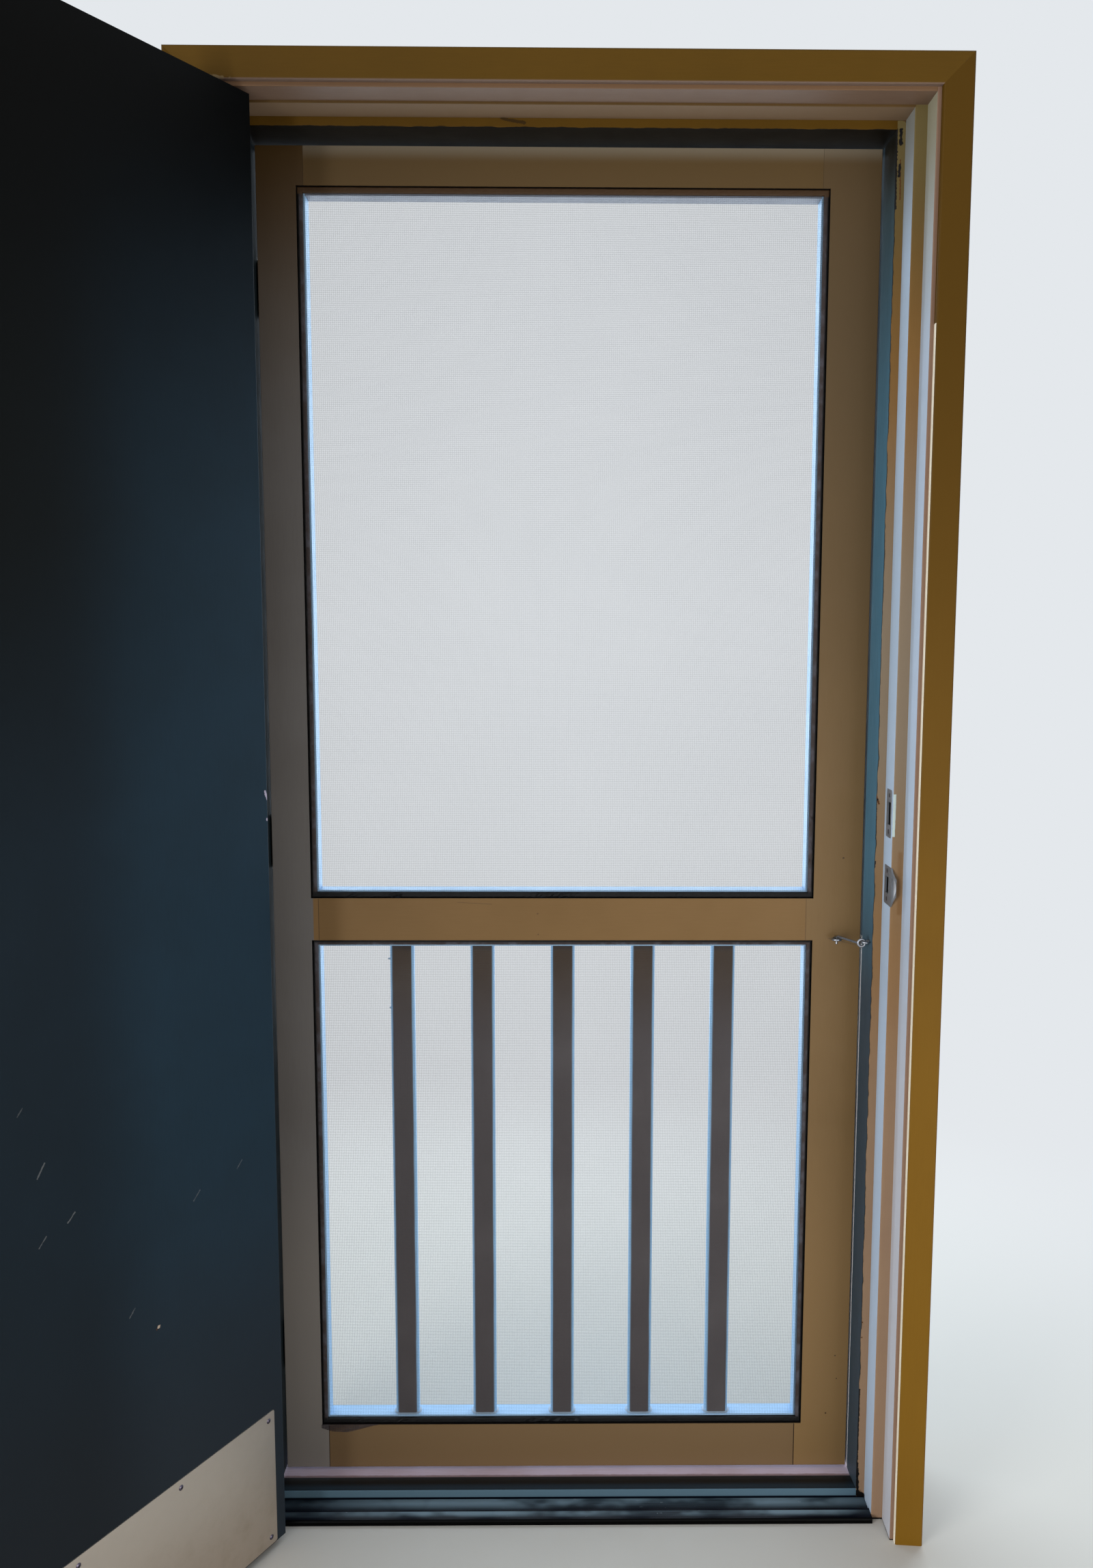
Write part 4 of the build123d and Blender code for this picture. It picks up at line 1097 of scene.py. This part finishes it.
@dataclass
class ScreenDoor:
    """The screen door: stiles, rails, bars, mesh and bead, with its pull and hook.

    Attributes:
        bead_width: Width of the bead.
        bead_bevel: How much of its edge is rounded off.
        bead_cuts: How many parts each of its long edges is cut into.
        bead_waver: How far its face stands out and in by chance.
        edge_band: How wide the strip is that tears and chips lie in.
        tear_floor: How much of the bead is left under the deepest tear.
        tears: X, half the width and the depth of each tear in a lower bead.
        chips: Height of each chip in the beads' right edge.
        chip_half: Half the height of a chip.
        rail_top: Height of the bottom rail's top.
        bar_columns: X of the bars.
        bar_depth: Y of the middle of the bars.
        bar_section: Width, depth and corner radius of a bar.
        caulk_grow: How far the caulk stands out round a bar's foot.
        caulk_wall: Height of its upright edge.
        caulk_steps: Inset and rise of each step of its crown.
        runs: Place, half width and half height of each dried run of paint.
        run_deep: Half the depth of a run.
        flap_corner: X, Y and Z where the loose strip of mesh starts.
        flap_run: Its length along the bead.
        flap_drop: How far it hangs down at most.
        flap_thick: Its thickness.
        flap_curl: How far it curls towards the room and back.
        flap_crumple: How far it is crumpled by chance.
        pull_x: X of the pull.
        pull_face: Y of the outer side of its feet.
        pull_feet: Heights of its feet.
        pull_screw: How far a foot's screws stand from its middle.
        stile_edge: X of the hinge stile's outer edge.
    """

    bead_width: float = 8.0
    bead_bevel: float = 2.1
    bead_cuts: int = 220
    bead_waver: Span = (-0.12, 0.3)
    edge_band: float = 9.0
    tear_floor: float = 0.6
    tears: tuple[Point, ...] = ((-262.0, 9.0, 3.0), (-22.0, 49.0, 2.6), (-330.0, 12.0, 1.8),
                                (170.0, 7.0, 1.6))
    chips: tuple[float, ...] = (1066.0, 1016.0, 991.0)
    chip_half: float = 5.0
    rail_top: float = 94.0
    bar_columns: tuple[float, ...] = tuple(LEFT_JOINT + BAR_PITCH * index for index in range(1, 6))
    bar_depth: float = 84.4
    bar_section: Point = (37.0, 20.0, 7.0)
    caulk_grow: float = 3.4
    caulk_wall: float = 0.7
    caulk_steps: tuple[Span, ...] = ((1.0, 0.5), (2.0, 1.8))
    runs: tuple[tuple[Point, float, float], ...] = (((-274.6, 79.0, 840.0), 2.6, 1.5),
                                                    ((-274.2, 80.0, 762.0), 1.6, 1.6))
    run_deep: float = 1.6
    flap_corner: Point = (-391.0, 61.6, 84.2)
    flap_run: float = 91.0
    flap_drop: float = 12.5
    flap_thick: float = 0.25
    flap_curl: float = 0.8
    flap_crumple: float = 0.1
    pull_x: float = 405.0
    pull_face: float = 100.4
    pull_feet: Span = (935.0, 1085.0)
    pull_screw: float = 8.5
    stile_edge: float = -447.0
    stile_paint: Enamel = Enamel(
        "lock_stile_enamel", "screen_paint", srgb(119, 93, 58), srgb(110, 85, 51),
        # Painted light: lighter low down, darker towards the top, a painted highlight at the top edge.
        zones=(Zone(srgb(125, 98, 62), z=(-FAR, 450), soft=300),
               Zone(srgb(90, 71, 45), z=(1350, FAR), soft=1000),
               Zone(srgb(132, 122, 106), z=(2016, FAR), soft=24, share=0.6), *SCREEN_BACK),
        marks=(spot((418.6, SCREEN_FRONT, 1001), 4, PINHOLE),
               spot((426, SCREEN_FRONT, 198), 2.6, PINHOLE), spot((429, SCREEN_FRONT, 159), 2.2, PINHOLE),
               spot((413.5, SCREEN_FRONT, 100), 3, srgb(58, 42, 20)),
               # Painted shadow of the latch hook.
               Mark((398, SCREEN_FRONT, 876), (441, SCREEN_FRONT, 866), 1.4, srgb(84, 66, 46), 0.7),
               joint(RIGHT_JOINT, LOW_JOINT, 1.9, 1.0), joint(RIGHT_JOINT, MIDDLE_JOINT, 1.3, 0.45),
               joint(RIGHT_JOINT, TOP_JOINT, 1.4, 0.6)))
    # Grey: the lock stile's paint in painted shade beside the open entry door.
    hinge_stile_paint: Enamel = Enamel(
        "hinge_stile_enamel", "screen_paint", srgb(111, 107, 104), srgb(101, 96, 92),
        # Painted light: lighter low down, darker towards the top, brown again at the middle rail.
        zones=(Zone(srgb(124, 118, 112), z=(-FAR, 450), soft=300),
               Zone(srgb(72, 51, 20), z=(1800, FAR), soft=500),
               Zone(srgb(124, 94, 56), x=(-FAR, 387), z=(873, 938), soft=2), *SCREEN_BACK),
        marks=(joint(LEFT_JOINT, LOW_JOINT, 1.6, 0.8), joint(LEFT_JOINT, MIDDLE_JOINT, 1.3, 0.6),
               joint(LEFT_JOINT, TOP_JOINT, 1.4, 0.6)))
    rail_paint: Enamel = Enamel(
        "rail_enamel", "screen_paint", srgb(120, 91, 53), srgb(111, 83, 45), along=Along.ACROSS,
        # Painted light: lighter low down, darker towards the top, a painted highlight at the top edge.
        zones=(Zone(srgb(112, 89, 61), z=(-FAR, 300), soft=200),
               Zone(srgb(92, 71, 40), z=(1500, FAR), soft=200),
               Zone(srgb(132, 122, 106), z=(2016, FAR), soft=24, share=0.7), *SCREEN_BACK,
               # Painted shade: the top rail's reveal beyond the mesh is greyer than the daylit ones.
               Zone(srgb(114, 116, 126), y=(71.3, FAR), z=(1900, FAR), soft=0.3)),
        marks=(joint(LEFT_JOINT, MIDDLE_JOINT, 1.3, 0.7),
               Mark((-168, SCREEN_FRONT, 932), (-116, SCREEN_FRONT, 929), 0.9, srgb(70, 54, 34), 0.7,
                    0.2),
               spot((-46.8, SCREEN_FRONT, 914), 4, srgb(84, 62, 36), 0.8),
               spot((-45.7, SCREEN_FRONT, 882), 3, srgb(84, 62, 36), 0.8),
               joint(RIGHT_JOINT, LOW_JOINT, 1.9, 1.0), joint(RIGHT_JOINT, MIDDLE_JOINT, 1.3, 0.45),
               joint(LEFT_JOINT, LOW_JOINT, 1.6, 0.8)))
    # Grey-brown room faces: painted shade.
    bar_paint: BarEnamel = BarEnamel(
        "bar_enamel", "screen_paint", srgb(86, 79, 80), srgb(78, 71, 71),
        # Darker towards the top: stains, with painted shade under the middle rail.
        zones=(Zone(srgb(64, 46, 26), z=(770, FAR), soft=170),
               Zone(srgb(40, 26, 14), z=(856, FAR), soft=10, wander=3),
               Zone(OUTDOORS, y=(93.9, FAR), soft=0.3)))
    # Pale blue-white: painted daylight on the caulk and the paint drips.
    caulk: Enamel = Enamel("foot_caulk", "screen_paint", srgb(176, 200, 222), srgb(130, 140, 150),
                           roughness=0.4)
    mesh: InsectMesh = InsectMesh("window_mesh", "mesh", srgb(52, 54, 58), srgb(84, 84, 86),
                                  roughness=0.6)
    flap: InsectMesh = InsectMesh("torn_mesh", "mesh", srgb(46, 38, 42), srgb(66, 56, 58),
                                  roughness=0.6, thread=0.5)
    rubber: Rubber = Rubber("bead_rubber", "spline_rubber", srgb(4, 4, 5), srgb(84, 84, 92),
                            roughness=0.55)
    upper_rubber: Rubber = Rubber(
        "upper_bead_rubber", "spline_rubber", srgb(5, 4, 4), srgb(82, 80, 88), roughness=0.55,
        outer=(-389.6, 373.6, 938.4, 1971.9),
        # Brown along its top run: painted shade under the top rail.
        zones=(Zone(srgb(66, 46, 26), z=(1962, FAR), soft=1),))
    pull: Metal = Metal("pull_zinc", "zinc_wire", srgb(150, 148, 144), srgb(112, 108, 102))
    zinc: Metal = replace(ZINC_WIRE, name="hook_zinc")
    hinge: Metal = replace(HINGE_STEEL, name="screen_hinge_steel")

    def dress(self) -> None:
        """Gives each solid of the screen door its finish."""
        self.stile_paint.on_nodes("screen_stile_lock")
        self.hinge_stile_paint.on_nodes("screen_stile_hinge")
        self.rail_paint.on_nodes("screen_rail_top", "screen_rail_middle", "screen_rail_bottom")
        self.bar_paint.on_nodes(*(f"baluster_{index}" for index in range(1, 6)))
        self.mesh.on_nodes("mesh_upper", "mesh_lower")
        self.pull.on_nodes("screen_pull")
        self.zinc.on_nodes("stile_eye", "latch_hook")

    def bead(self, node: str, chance: random.Random) -> bmesh.types.BMesh:
        """The bead round one opening: a rounded ring, pressed in by hand.

        Args:
            node: The solid that it stands for.
            chance: Where its unevenness comes from.

        Returns:
            Its shape, in metres.
        """
        low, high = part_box(node)
        shape = bmesh.new()
        bmesh.ops.create_grid(shape, x_segments=1, y_segments=1, size=0.5)
        turn = Matrix.Rotation(math.pi / 2, 3, "X")
        bmesh.ops.rotate(shape, cent=(0, 0, 0), matrix=turn, verts=shape.verts)
        bmesh.ops.scale(shape, vec=(high.x - low.x, 1, high.z - low.z), verts=shape.verts)
        centre = ((low.x + high.x) / 2, high.y, (low.z + high.z) / 2)
        bmesh.ops.translate(shape, vec=centre, verts=shape.verts)
        middle = list(shape.faces)
        bmesh.ops.inset_region(shape, faces=middle, thickness=self.bead_width * MM,
                               use_boundary=True, use_even_offset=True)
        bmesh.ops.delete(shape, geom=middle, context="FACES_ONLY")
        walls = bmesh.ops.extrude_face_region(shape, geom=list(shape.faces))
        front = [item for item in walls["geom"] if isinstance(item, bmesh.types.BMVert)]
        bmesh.ops.translate(shape, vec=(0, low.y - high.y, 0), verts=front)
        bmesh.ops.recalc_face_normals(shape, faces=shape.faces)
        edges = {edge for vert in front for edge in vert.link_edges
                 if all(end.co.y < low.y + 0.1 * MM for end in edge.verts)
                 and len(edge.link_faces) == 2 and edge.calc_face_angle(0) > 0.5}
        bmesh.ops.bevel(shape, geom=list(edges), offset=self.bead_bevel * MM, segments=3, profile=0.5,
                        affect="EDGES", material=-1)
        long_edges = [edge for edge in shape.edges if edge.calc_length() > 0.3]
        bmesh.ops.subdivide_edges(shape, edges=long_edges, cuts=self.bead_cuts, use_grid_fill=True)
        for vert in shape.verts:
            if vert.co.y < high.y - 0.5 * MM:
                vert.co.y += chance.uniform(*self.bead_waver) * MM
        return shape

    def tear(self, shape: bmesh.types.BMesh, floor: float, chance: random.Random) -> None:
        """Tears pits along the lower edge of a bead, and chips its right edge.

        Args:
            shape: The bead.
            floor: Y that no pit goes beyond, in metres.
            chance: Where the raggedness comes from.
        """
        foot = min(vert.co.z for vert in shape.verts) + self.edge_band * MM
        right = max(vert.co.x for vert in shape.verts) - self.edge_band * MM
        for vert in shape.verts:
            if vert.co.y > floor:
                continue
            depth = 0.0
            if vert.co.z < foot:
                for middle, half, deep in self.tears:
                    off = abs(vert.co.x / MM - middle) / half
                    if off < 1:
                        depth += deep * (1 - off ** 4) * chance.uniform(0.1, 1.0)
            if vert.co.x > right:
                for height in self.chips:
                    if abs(vert.co.z / MM - height) < self.chip_half:
                        depth += chance.uniform(0.3, 1.6)
            vert.co.y = min(vert.co.y + depth * MM, max(floor, vert.co.y))

    def ring(self, column: float) -> bmesh.types.BMesh:
        """The fillet of caulk round one bar's foot.

        Args:
            column: X of the bar.

        Returns:
            Its shape, in metres.
        """
        wide, deep, bend = self.bar_section
        grow = self.caulk_grow
        shape = bmesh.new()
        bmesh.ops.create_grid(shape, x_segments=1, y_segments=1, size=0.5 * MM)
        bmesh.ops.scale(shape, vec=(wide + 2 * grow, deep + grow, 1), verts=shape.verts)
        bmesh.ops.bevel(shape, geom=shape.verts[:], offset=(bend + grow) * MM, segments=6, profile=0.5,
                        affect="VERTICES", material=-1)
        walls = bmesh.ops.extrude_face_region(shape, geom=list(shape.faces))
        top = [item for item in walls["geom"] if isinstance(item, bmesh.types.BMVert)]
        bmesh.ops.translate(shape, vec=(0, 0, self.caulk_wall * MM), verts=top)
        crown = [item for item in walls["geom"] if isinstance(item, bmesh.types.BMFace)]
        for inset, rise in self.caulk_steps:
            bmesh.ops.inset_region(shape, faces=crown, thickness=inset * MM, depth=rise * MM)
        foot = Vector((column, self.bar_depth - 0.3, self.rail_top - 0.4)) * MM
        bmesh.ops.translate(shape, vec=foot, verts=shape.verts)
        bmesh.ops.recalc_face_normals(shape, faces=shape.faces)
        return shape

    def drips(self) -> bmesh.types.BMesh:
        """Two runs of paint that dried on the edge of the first bar.

        Returns:
            Their shape, in metres.
        """
        shape = bmesh.new()
        for place, wide, tall in self.runs:
            drop = bmesh.ops.create_icosphere(shape, subdivisions=3, radius=MM)["verts"]
            bmesh.ops.scale(shape, vec=(wide, self.run_deep, tall), verts=drop)
            bmesh.ops.translate(shape, vec=Vector(place) * MM, verts=drop)
        return shape

    def loose_mesh(self, chance: random.Random) -> bmesh.types.BMesh:
        """The strip of mesh that hangs out from under the bead at the lower left, in metres.

        Args:
            chance: Where its crumples come from.

        Returns:
            Its shape.
        """
        left, front, top = self.flap_corner
        shape = bmesh.new()
        bmesh.ops.create_grid(shape, x_segments=40, y_segments=8, size=0.5)
        for vert in shape.verts:
            run, drop = vert.co.x + 0.5, 0.5 - vert.co.y
            length = self.flap_drop * min(1.0, 0.45 + 3 * run, 1.7 * (1.0 - run) + 0.06)
            curl = self.flap_curl * math.sin(9 * run + 3 * drop) * drop
            crumple = chance.uniform(-self.flap_crumple, self.flap_crumple)
            vert.co = Vector((left + self.flap_run * run, front - curl + crumple,
                              top - length * drop)) * MM
        bmesh.ops.solidify(shape, geom=shape.faces[:], thickness=self.flap_thick * MM)
        bmesh.ops.recalc_face_normals(shape, faces=shape.faces)
        return shape

    def build(self) -> None:
        """Adds the beads, the caulk, the drips, the loose strip of mesh and the screws."""
        rubbers = {"mesh_spline_upper": self.upper_rubber, "mesh_spline_lower": self.rubber}
        for seed, (node, rubber) in enumerate(rubbers.items()):
            chance = random.Random(seed)
            shape = self.bead(node, chance)
            self.tear(shape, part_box(node)[1].y - self.tear_floor * MM, chance)
            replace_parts(rubber.on_piece(piece_of(node + "_bead", shape), "screen_door"), node)
        for index, column in enumerate(self.bar_columns, start=1):
            self.caulk.on_piece(piece_of(f"foot_caulk_{index}", self.ring(column)), "screen_door")
        self.caulk.on_piece(piece_of("paint_drips", self.drips()), "screen_door")
        self.flap.on_piece(piece_of("loose_mesh", self.loose_mesh(random.Random(8))), "screen_door")
        chance = random.Random(4)
        seats = [(Vector((self.stile_edge, SCREEN_HINGE_MIDDLE, low + up)) * MM, Vector((-1, 0, 0)))
                 for low in SCREEN_HINGE_LOWS for up in SCREEN_HINGE_HOLES]
        screw = Screw(radius=3.2, rise=0.2, slot=0.7)
        self.hinge.on_piece(screw.drive("screen_hinge_door_screws", seats, chance), "screen_door")
        seats = [(Vector((self.pull_x, self.pull_face, foot + off)) * MM, Vector((0, 1, 0)))
                 for foot in self.pull_feet for off in (-self.pull_screw, self.pull_screw)]
        screw = Screw(radius=2.2, rise=0.6, slot=0.6)
        self.pull.on_piece(screw.drive("pull_screws", seats, chance), "screen_door")


@dataclass
class EntryDoor:
    """The flush entry door with its kick plate, locks and hinges, measured closed.

    Attributes:
        leaf_edge: Half the leaf's width.
        lock_x: X of the knobs and the dead bolt.
        rose_screw: How far a rose's screws stand from its middle.
        plate_screw: How far a face plate's screws stand from its middle.
        roses: Height and thickness of the indoor rose and the thumb turn's plate.
        kick_thick: Thickness of the kick plate.
        kick_rows: Heights of its screws.
        kick_columns: X of its screws.
    """

    leaf_edge: float = 459.5
    lock_x: float = 399.5
    rose_screw: float = 19.4
    plate_screw: float = 21.5
    roses: tuple[Span, ...] = ((KNOB_HEIGHT, 7.0), (BOLT_HEIGHT, 9.0))
    kick_thick: float = 1.2
    kick_rows: Span = (22.9, 204.5)
    kick_columns: tuple[float, ...] = (-429.0, -266.0, -104.0, 62.0, 245.0, 429.0)
    leaf: Enamel = Enamel(
        "leaf_enamel", "leaf_paint", srgb(36, 54, 67), srgb(33, 47, 57), roughness=0.45, gloss=0.05,
        turn=CLOSED,
        # Painted shade on the outdoor face: greyer low down, darker in the middle, near black at the top.
        zones=(Zone(srgb(41, 45, 50), z=(-FAR, 450), soft=500, share=0.8),
               Zone(srgb(26, 29, 32), x=(-FAR, 200), soft=160, share=0.6),
               Zone(srgb(14, 14, 9), x=(-FAR, 260), z=(1250, FAR), soft=500, share=0.85),
               Zone(srgb(5, 5, 4), z=(1700, FAR), soft=600, share=0.97),
               Zone(srgb(36, 51, 62), y=(-FAR, -45.0), soft=0.5)),
        marks=(scuff((-84, 727), (-74, 712), 2.2, 0.6), scuff((-122, 651), (-112, 642), 2.0, 0.6),
               scuff((-82, 638), (-72, 628), 1.8, 0.5), scuff((-316, 600), (-305, 590), 2.2, 0.5),
               scuff((-393, 613), (-383, 604), 2.2, 0.5), scuff((-204, 489), (-195, 480), 2.0, 0.5),
               scuff((-59, 802), (-52, 794), 1.8, 0.35),
               spot((-240, LEAF_OUT, 445), 6, srgb(190, 170, 150)),
               spot((-237, LEAF_OUT, 443), 3, BARE_WOOD),
               Mark((-455, LEAF_OUT, 1122), (-459, LEAF_OUT, 1110), 4, LILAC_CHIP, 0.9),
               spot((-457.5, LEAF_OUT, 1082), 4, LILAC_CHIP, 0.9)))
    kick: Metal = Metal(
        "kick_plate_metal", "kick_metal", srgb(194, 180, 166), srgb(178, 163, 146), smear=0.12,
        along=Along.ACROSS, roughness=0.45, turn=CLOSED,
        # Painted sheen: paler towards its top.
        zones=(Zone(srgb(210, 201, 190), z=(120, FAR), soft=160, share=0.8),))
    kick_screw: Metal = Metal("kick_screw_steel", "kick_metal", srgb(104, 98, 112), srgb(62, 58, 64),
                              roughness=0.3, turn=CLOSED)
    nickel: Metal = Metal("lock_nickel", "lock_metal", srgb(158, 154, 148), srgb(120, 114, 106),
                          roughness=0.3)
    steel: Metal = Metal("bolt_steel", "lock_steel", srgb(150, 150, 150), srgb(112, 110, 106),
                         roughness=0.35)
    hinge: Metal = HINGE_STEEL

    def dress(self) -> None:
        """Gives each solid of the entry door its finish, and all the hinges theirs."""
        self.leaf.on_nodes("entry_leaf")
        self.kick.on_nodes("kick_plate")
        self.nickel.on_nodes("rose_outdoor", "rose_indoor", "knob_outdoor", "knob_indoor",
                             "deadbolt_cylinder", "thumb_turn_plate", "thumb_turn")
        self.steel.on_nodes("latch_tube", "latch_bolt", "deadbolt_tube", "deadbolt", "knob_spindle")
        for name in frame["nodes"]:
            if "hinge" in name and "stile" not in name:
                self.hinge.on_nodes(name)

    def seats(self, points: list[Point], out: Point) -> list[Seat]:
        """Turns seats that are given on the closed door to where the door stands.

        Args:
            points: The seats, in millimetres.
            out: The way out of the surface.

        Returns:
            Each seat's point in metres and the way out of it.
        """
        swing = entry_swing()
        return [(swing @ (Vector(point) * MM), swing.to_3x3() @ Vector(out)) for point in points]

    def build(self) -> None:
        """Adds the screws of the kick plate, hinges, face plates, rose and thumb turn."""
        chance = random.Random(5)
        front = LEAF_OUT + self.kick_thick
        points = [(x, front, z) for x in self.kick_columns for z in self.kick_rows]
        seats = self.seats(points, (0, 1, 0))
        screw = Screw(radius=3.8, rise=1.6, rim=0.5)
        self.kick_screw.on_piece(screw.drive("kick_plate_screws", seats, chance), "entry_door")
        points = [(-self.leaf_edge, depth, low + up) for low in HINGE_LOWS for depth, up in HINGE_HOLES]
        seats = self.seats(points, (-1, 0, 0))
        screw = Screw(radius=4.0, rise=0.3)
        self.hinge.on_piece(screw.drive("hinge_door_screws", seats, chance), "entry_door")
        middle = (LEAF_IN + LEAF_OUT) / 2
        points = [(self.leaf_edge, middle, height + way * self.plate_screw)
                  for height in (KNOB_HEIGHT, BOLT_HEIGHT) for way in (-1, 1)]
        seats = self.seats(points, (1, 0, 0))
        screw = Screw(radius=3.3, rise=0.3)
        self.steel.on_piece(screw.drive("face_plate_screws", seats, chance), "entry_door")
        points = [(self.lock_x + way * self.rose_screw, LEAF_IN - thick, height)
                  for height, thick in self.roses for way in (-1, 1)]
        seats = self.seats(points, (0, -1, 0))
        screw = Screw(radius=2.6, rise=0.5, slot=0.7)
        self.nickel.on_piece(screw.drive("rose_screws", seats, chance), "entry_door")


@dataclass(frozen=True)
class SoftBox:
    """A soft box lamp.

    Attributes:
        name: Its name.
        place: Where it stands, in metres.
        target: What it points at.
        size: Its width and height.
        watts: Its power.
        colour: Its tint.
    """

    name: str
    place: Point
    target: Point
    size: Span
    watts: float
    colour: Point

    def add(self) -> None:
        """Adds the lamp to the scene."""
        data = bpy.data.lights.new(self.name, "AREA")
        data.shape = "RECTANGLE"
        data.size, data.size_y = self.size
        data.energy = self.watts
        data.color = self.colour
        lamp = bpy.data.objects.new(self.name, data)
        aim = (Vector(self.target) - Vector(self.place)).to_track_quat("-Z", "Y")
        lamp.matrix_world = Matrix.Translation(self.place) @ aim.to_matrix().to_4x4()
        lamp.visible_camera = False
        bpy.context.scene.collection.objects.link(lamp)


@dataclass
class Studio:
    """Camera, floor, lamps and the pale surround.

    Attributes:
        image: Width and height of the photograph in pixels.
        focal: The camera's focal length in those pixels.
        centre: The pixel that the lens points at.
        eye: Where the camera stands, in millimetres.
        turn: Its yaw, pitch and roll in degrees.
        sensor: Its longer side in millimetres.
        pale: The surround that the camera and gloss see.
        dim: The surround that lights the doorway.
        dim_strength: How strong that light is.
        floor_colour: The floor near the doorway.
        floor_middle: The middle of that part, in metres.
        floor_fade: How far from there the floor starts and ends fading into the surround.
        lamps: The soft boxes.
    """

    image: Span = (1601.0, 2296.0)
    focal: float = 1830.66
    centre: Span = (844.21, 1119.34)
    eye: Point = (-7.47, -1802.87, 1354.20)
    turn: Point = (-0.601, -6.459, -0.155)
    sensor: float = 36.0
    pale: Colour = srgb(228, 232, 236)
    dim: Colour = (0.95, 0.97, 1.0, 1.0)
    dim_strength: float = 0.4
    floor_colour: Colour = srgb(204, 200, 192)
    floor_middle: Point = (-0.2, -0.5, 0.0)
    floor_fade: Span = (0.9, 2.4)
    lamps: tuple[SoftBox, ...] = (
        SoftBox("room_softbox", (0.5, -3.3, 0.7), (0.1, 0.0, 0.7), (2.4, 2.0), 9.0, (1.0, 0.93, 0.84)),
        SoftBox("left_softbox", (-2.3, -2.5, 1.0), (0.3, 0.0, 0.8), (1.6, 2.0), 96.0, (0.95, 0.98, 1.0)),
        SoftBox("low_softbox", (1.6, -2.2, 0.5), (-0.4, 0.0, 0.4), (1.2, 0.9), 20.0, (1.0, 0.97, 0.94)),
        SoftBox("outdoor_softbox", (0.0, 1.9, 1.45), (0.0, 0.0, 1.2), (5.6, 2.9), 190.0,
                (0.74, 0.87, 1.0)))

    def camera(self) -> None:
        """Stands the camera where the photograph was taken from."""
        data = bpy.data.cameras.new("camera")
        data.sensor_width = self.sensor
        data.lens = self.focal * self.sensor / self.image[1]
        data.shift_x = (self.image[0] / 2 - self.centre[0]) / self.image[1]
        data.shift_y = (self.centre[1] - self.image[1] / 2) / self.image[1]
        camera = bpy.data.objects.new("camera", data)
        yaw, pitch, roll = (math.radians(angle) for angle in self.turn)
        level = Matrix.Rotation(math.pi / 2, 4, "X")
        aim = (Matrix.Rotation(yaw, 4, "Z") @ Matrix.Rotation(pitch, 4, "X")
               @ Matrix.Rotation(roll, 4, "Y"))
        camera.matrix_world = Matrix.Translation(Vector(self.eye) * MM) @ aim @ level
        bpy.context.scene.collection.objects.link(camera)
        bpy.context.scene.camera = camera

    def shown(self, shader: Shader) -> Num:
        """Tells the rays that make the picture and its reflections from those that light it.

        Args:
            shader: The tree that asks.

        Returns:
            1 for the first and 0 for the second.
        """
        ray = shader.node("ShaderNodeLightPath").outputs
        seen = Num(shader, ray["Is Camera Ray"]).most(Num(shader, ray["Is Glossy Ray"]))
        return seen.most(Num(shader, ray["Is Transmission Ray"]))

    def world(self) -> None:
        """An even dim light all round, which the camera and gloss see as the pale surround."""
        world = bpy.data.worlds.new("surround")
        world.use_nodes = True
        bpy.context.scene.world = world
        shader = Shader(world.node_tree)
        dim = shader.node("ShaderNodeBackground",
                          inputs={"Color": self.dim, "Strength": self.dim_strength})
        bright = shader.node("ShaderNodeBackground", inputs={"Color": self.pale, "Strength": 1.0})
        both = shader.node("ShaderNodeMixShader",
                           inputs={0: self.shown(shader), 1: dim.outputs[0], 2: bright.outputs[0]})
        shader.node("ShaderNodeOutputWorld", inputs={"Surface": both.outputs[0]})

    def floor(self) -> None:
        """A pale floor that fades into the surround."""
        shape = bmesh.new()
        bmesh.ops.create_circle(shape, cap_ends=True, segments=96, radius=14.0)
        floor = piece_of("floor", shape)
        made = bpy.data.materials.new("floor")
        made.use_nodes = True
        shader = Shader(made.node_tree)
        off = shader.vector("SUBTRACT", shader.place(), self.floor_middle)
        away = Num(shader, shader.vector("LENGTH", off))
        far = away.rise(*self.floor_fade) * self.shown(shader)
        near = shader.node("ShaderNodeBsdfDiffuse", inputs={"Color": self.floor_colour})
        glow = shader.node("ShaderNodeEmission", inputs={"Color": self.pale, "Strength": 1.0})
        both = shader.node("ShaderNodeMixShader",
                           inputs={0: far, 1: near.outputs[0], 2: glow.outputs[0]})
        shader.node("ShaderNodeOutputMaterial", inputs={"Surface": both.outputs[0]})
        floor.data.materials.append(made)

    def set_up(self) -> None:
        """Sets up all of it."""
        bpy.context.scene.view_settings.view_transform = "Standard"
        self.camera()
        self.world()
        self.floor()
        for lamp in self.lamps:
            lamp.add()


def main() -> None:
    """Builds and dresses the doorway, piece by piece."""
    logging.basicConfig(level=logging.INFO, format="%(name)s: %(message)s")
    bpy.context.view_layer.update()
    Studio().set_up()
    for part in (DoorFrame(), ScreenDoor(), EntryDoor()):
        part.dress()
        part.build()


if __name__ == "__main__":
    main()
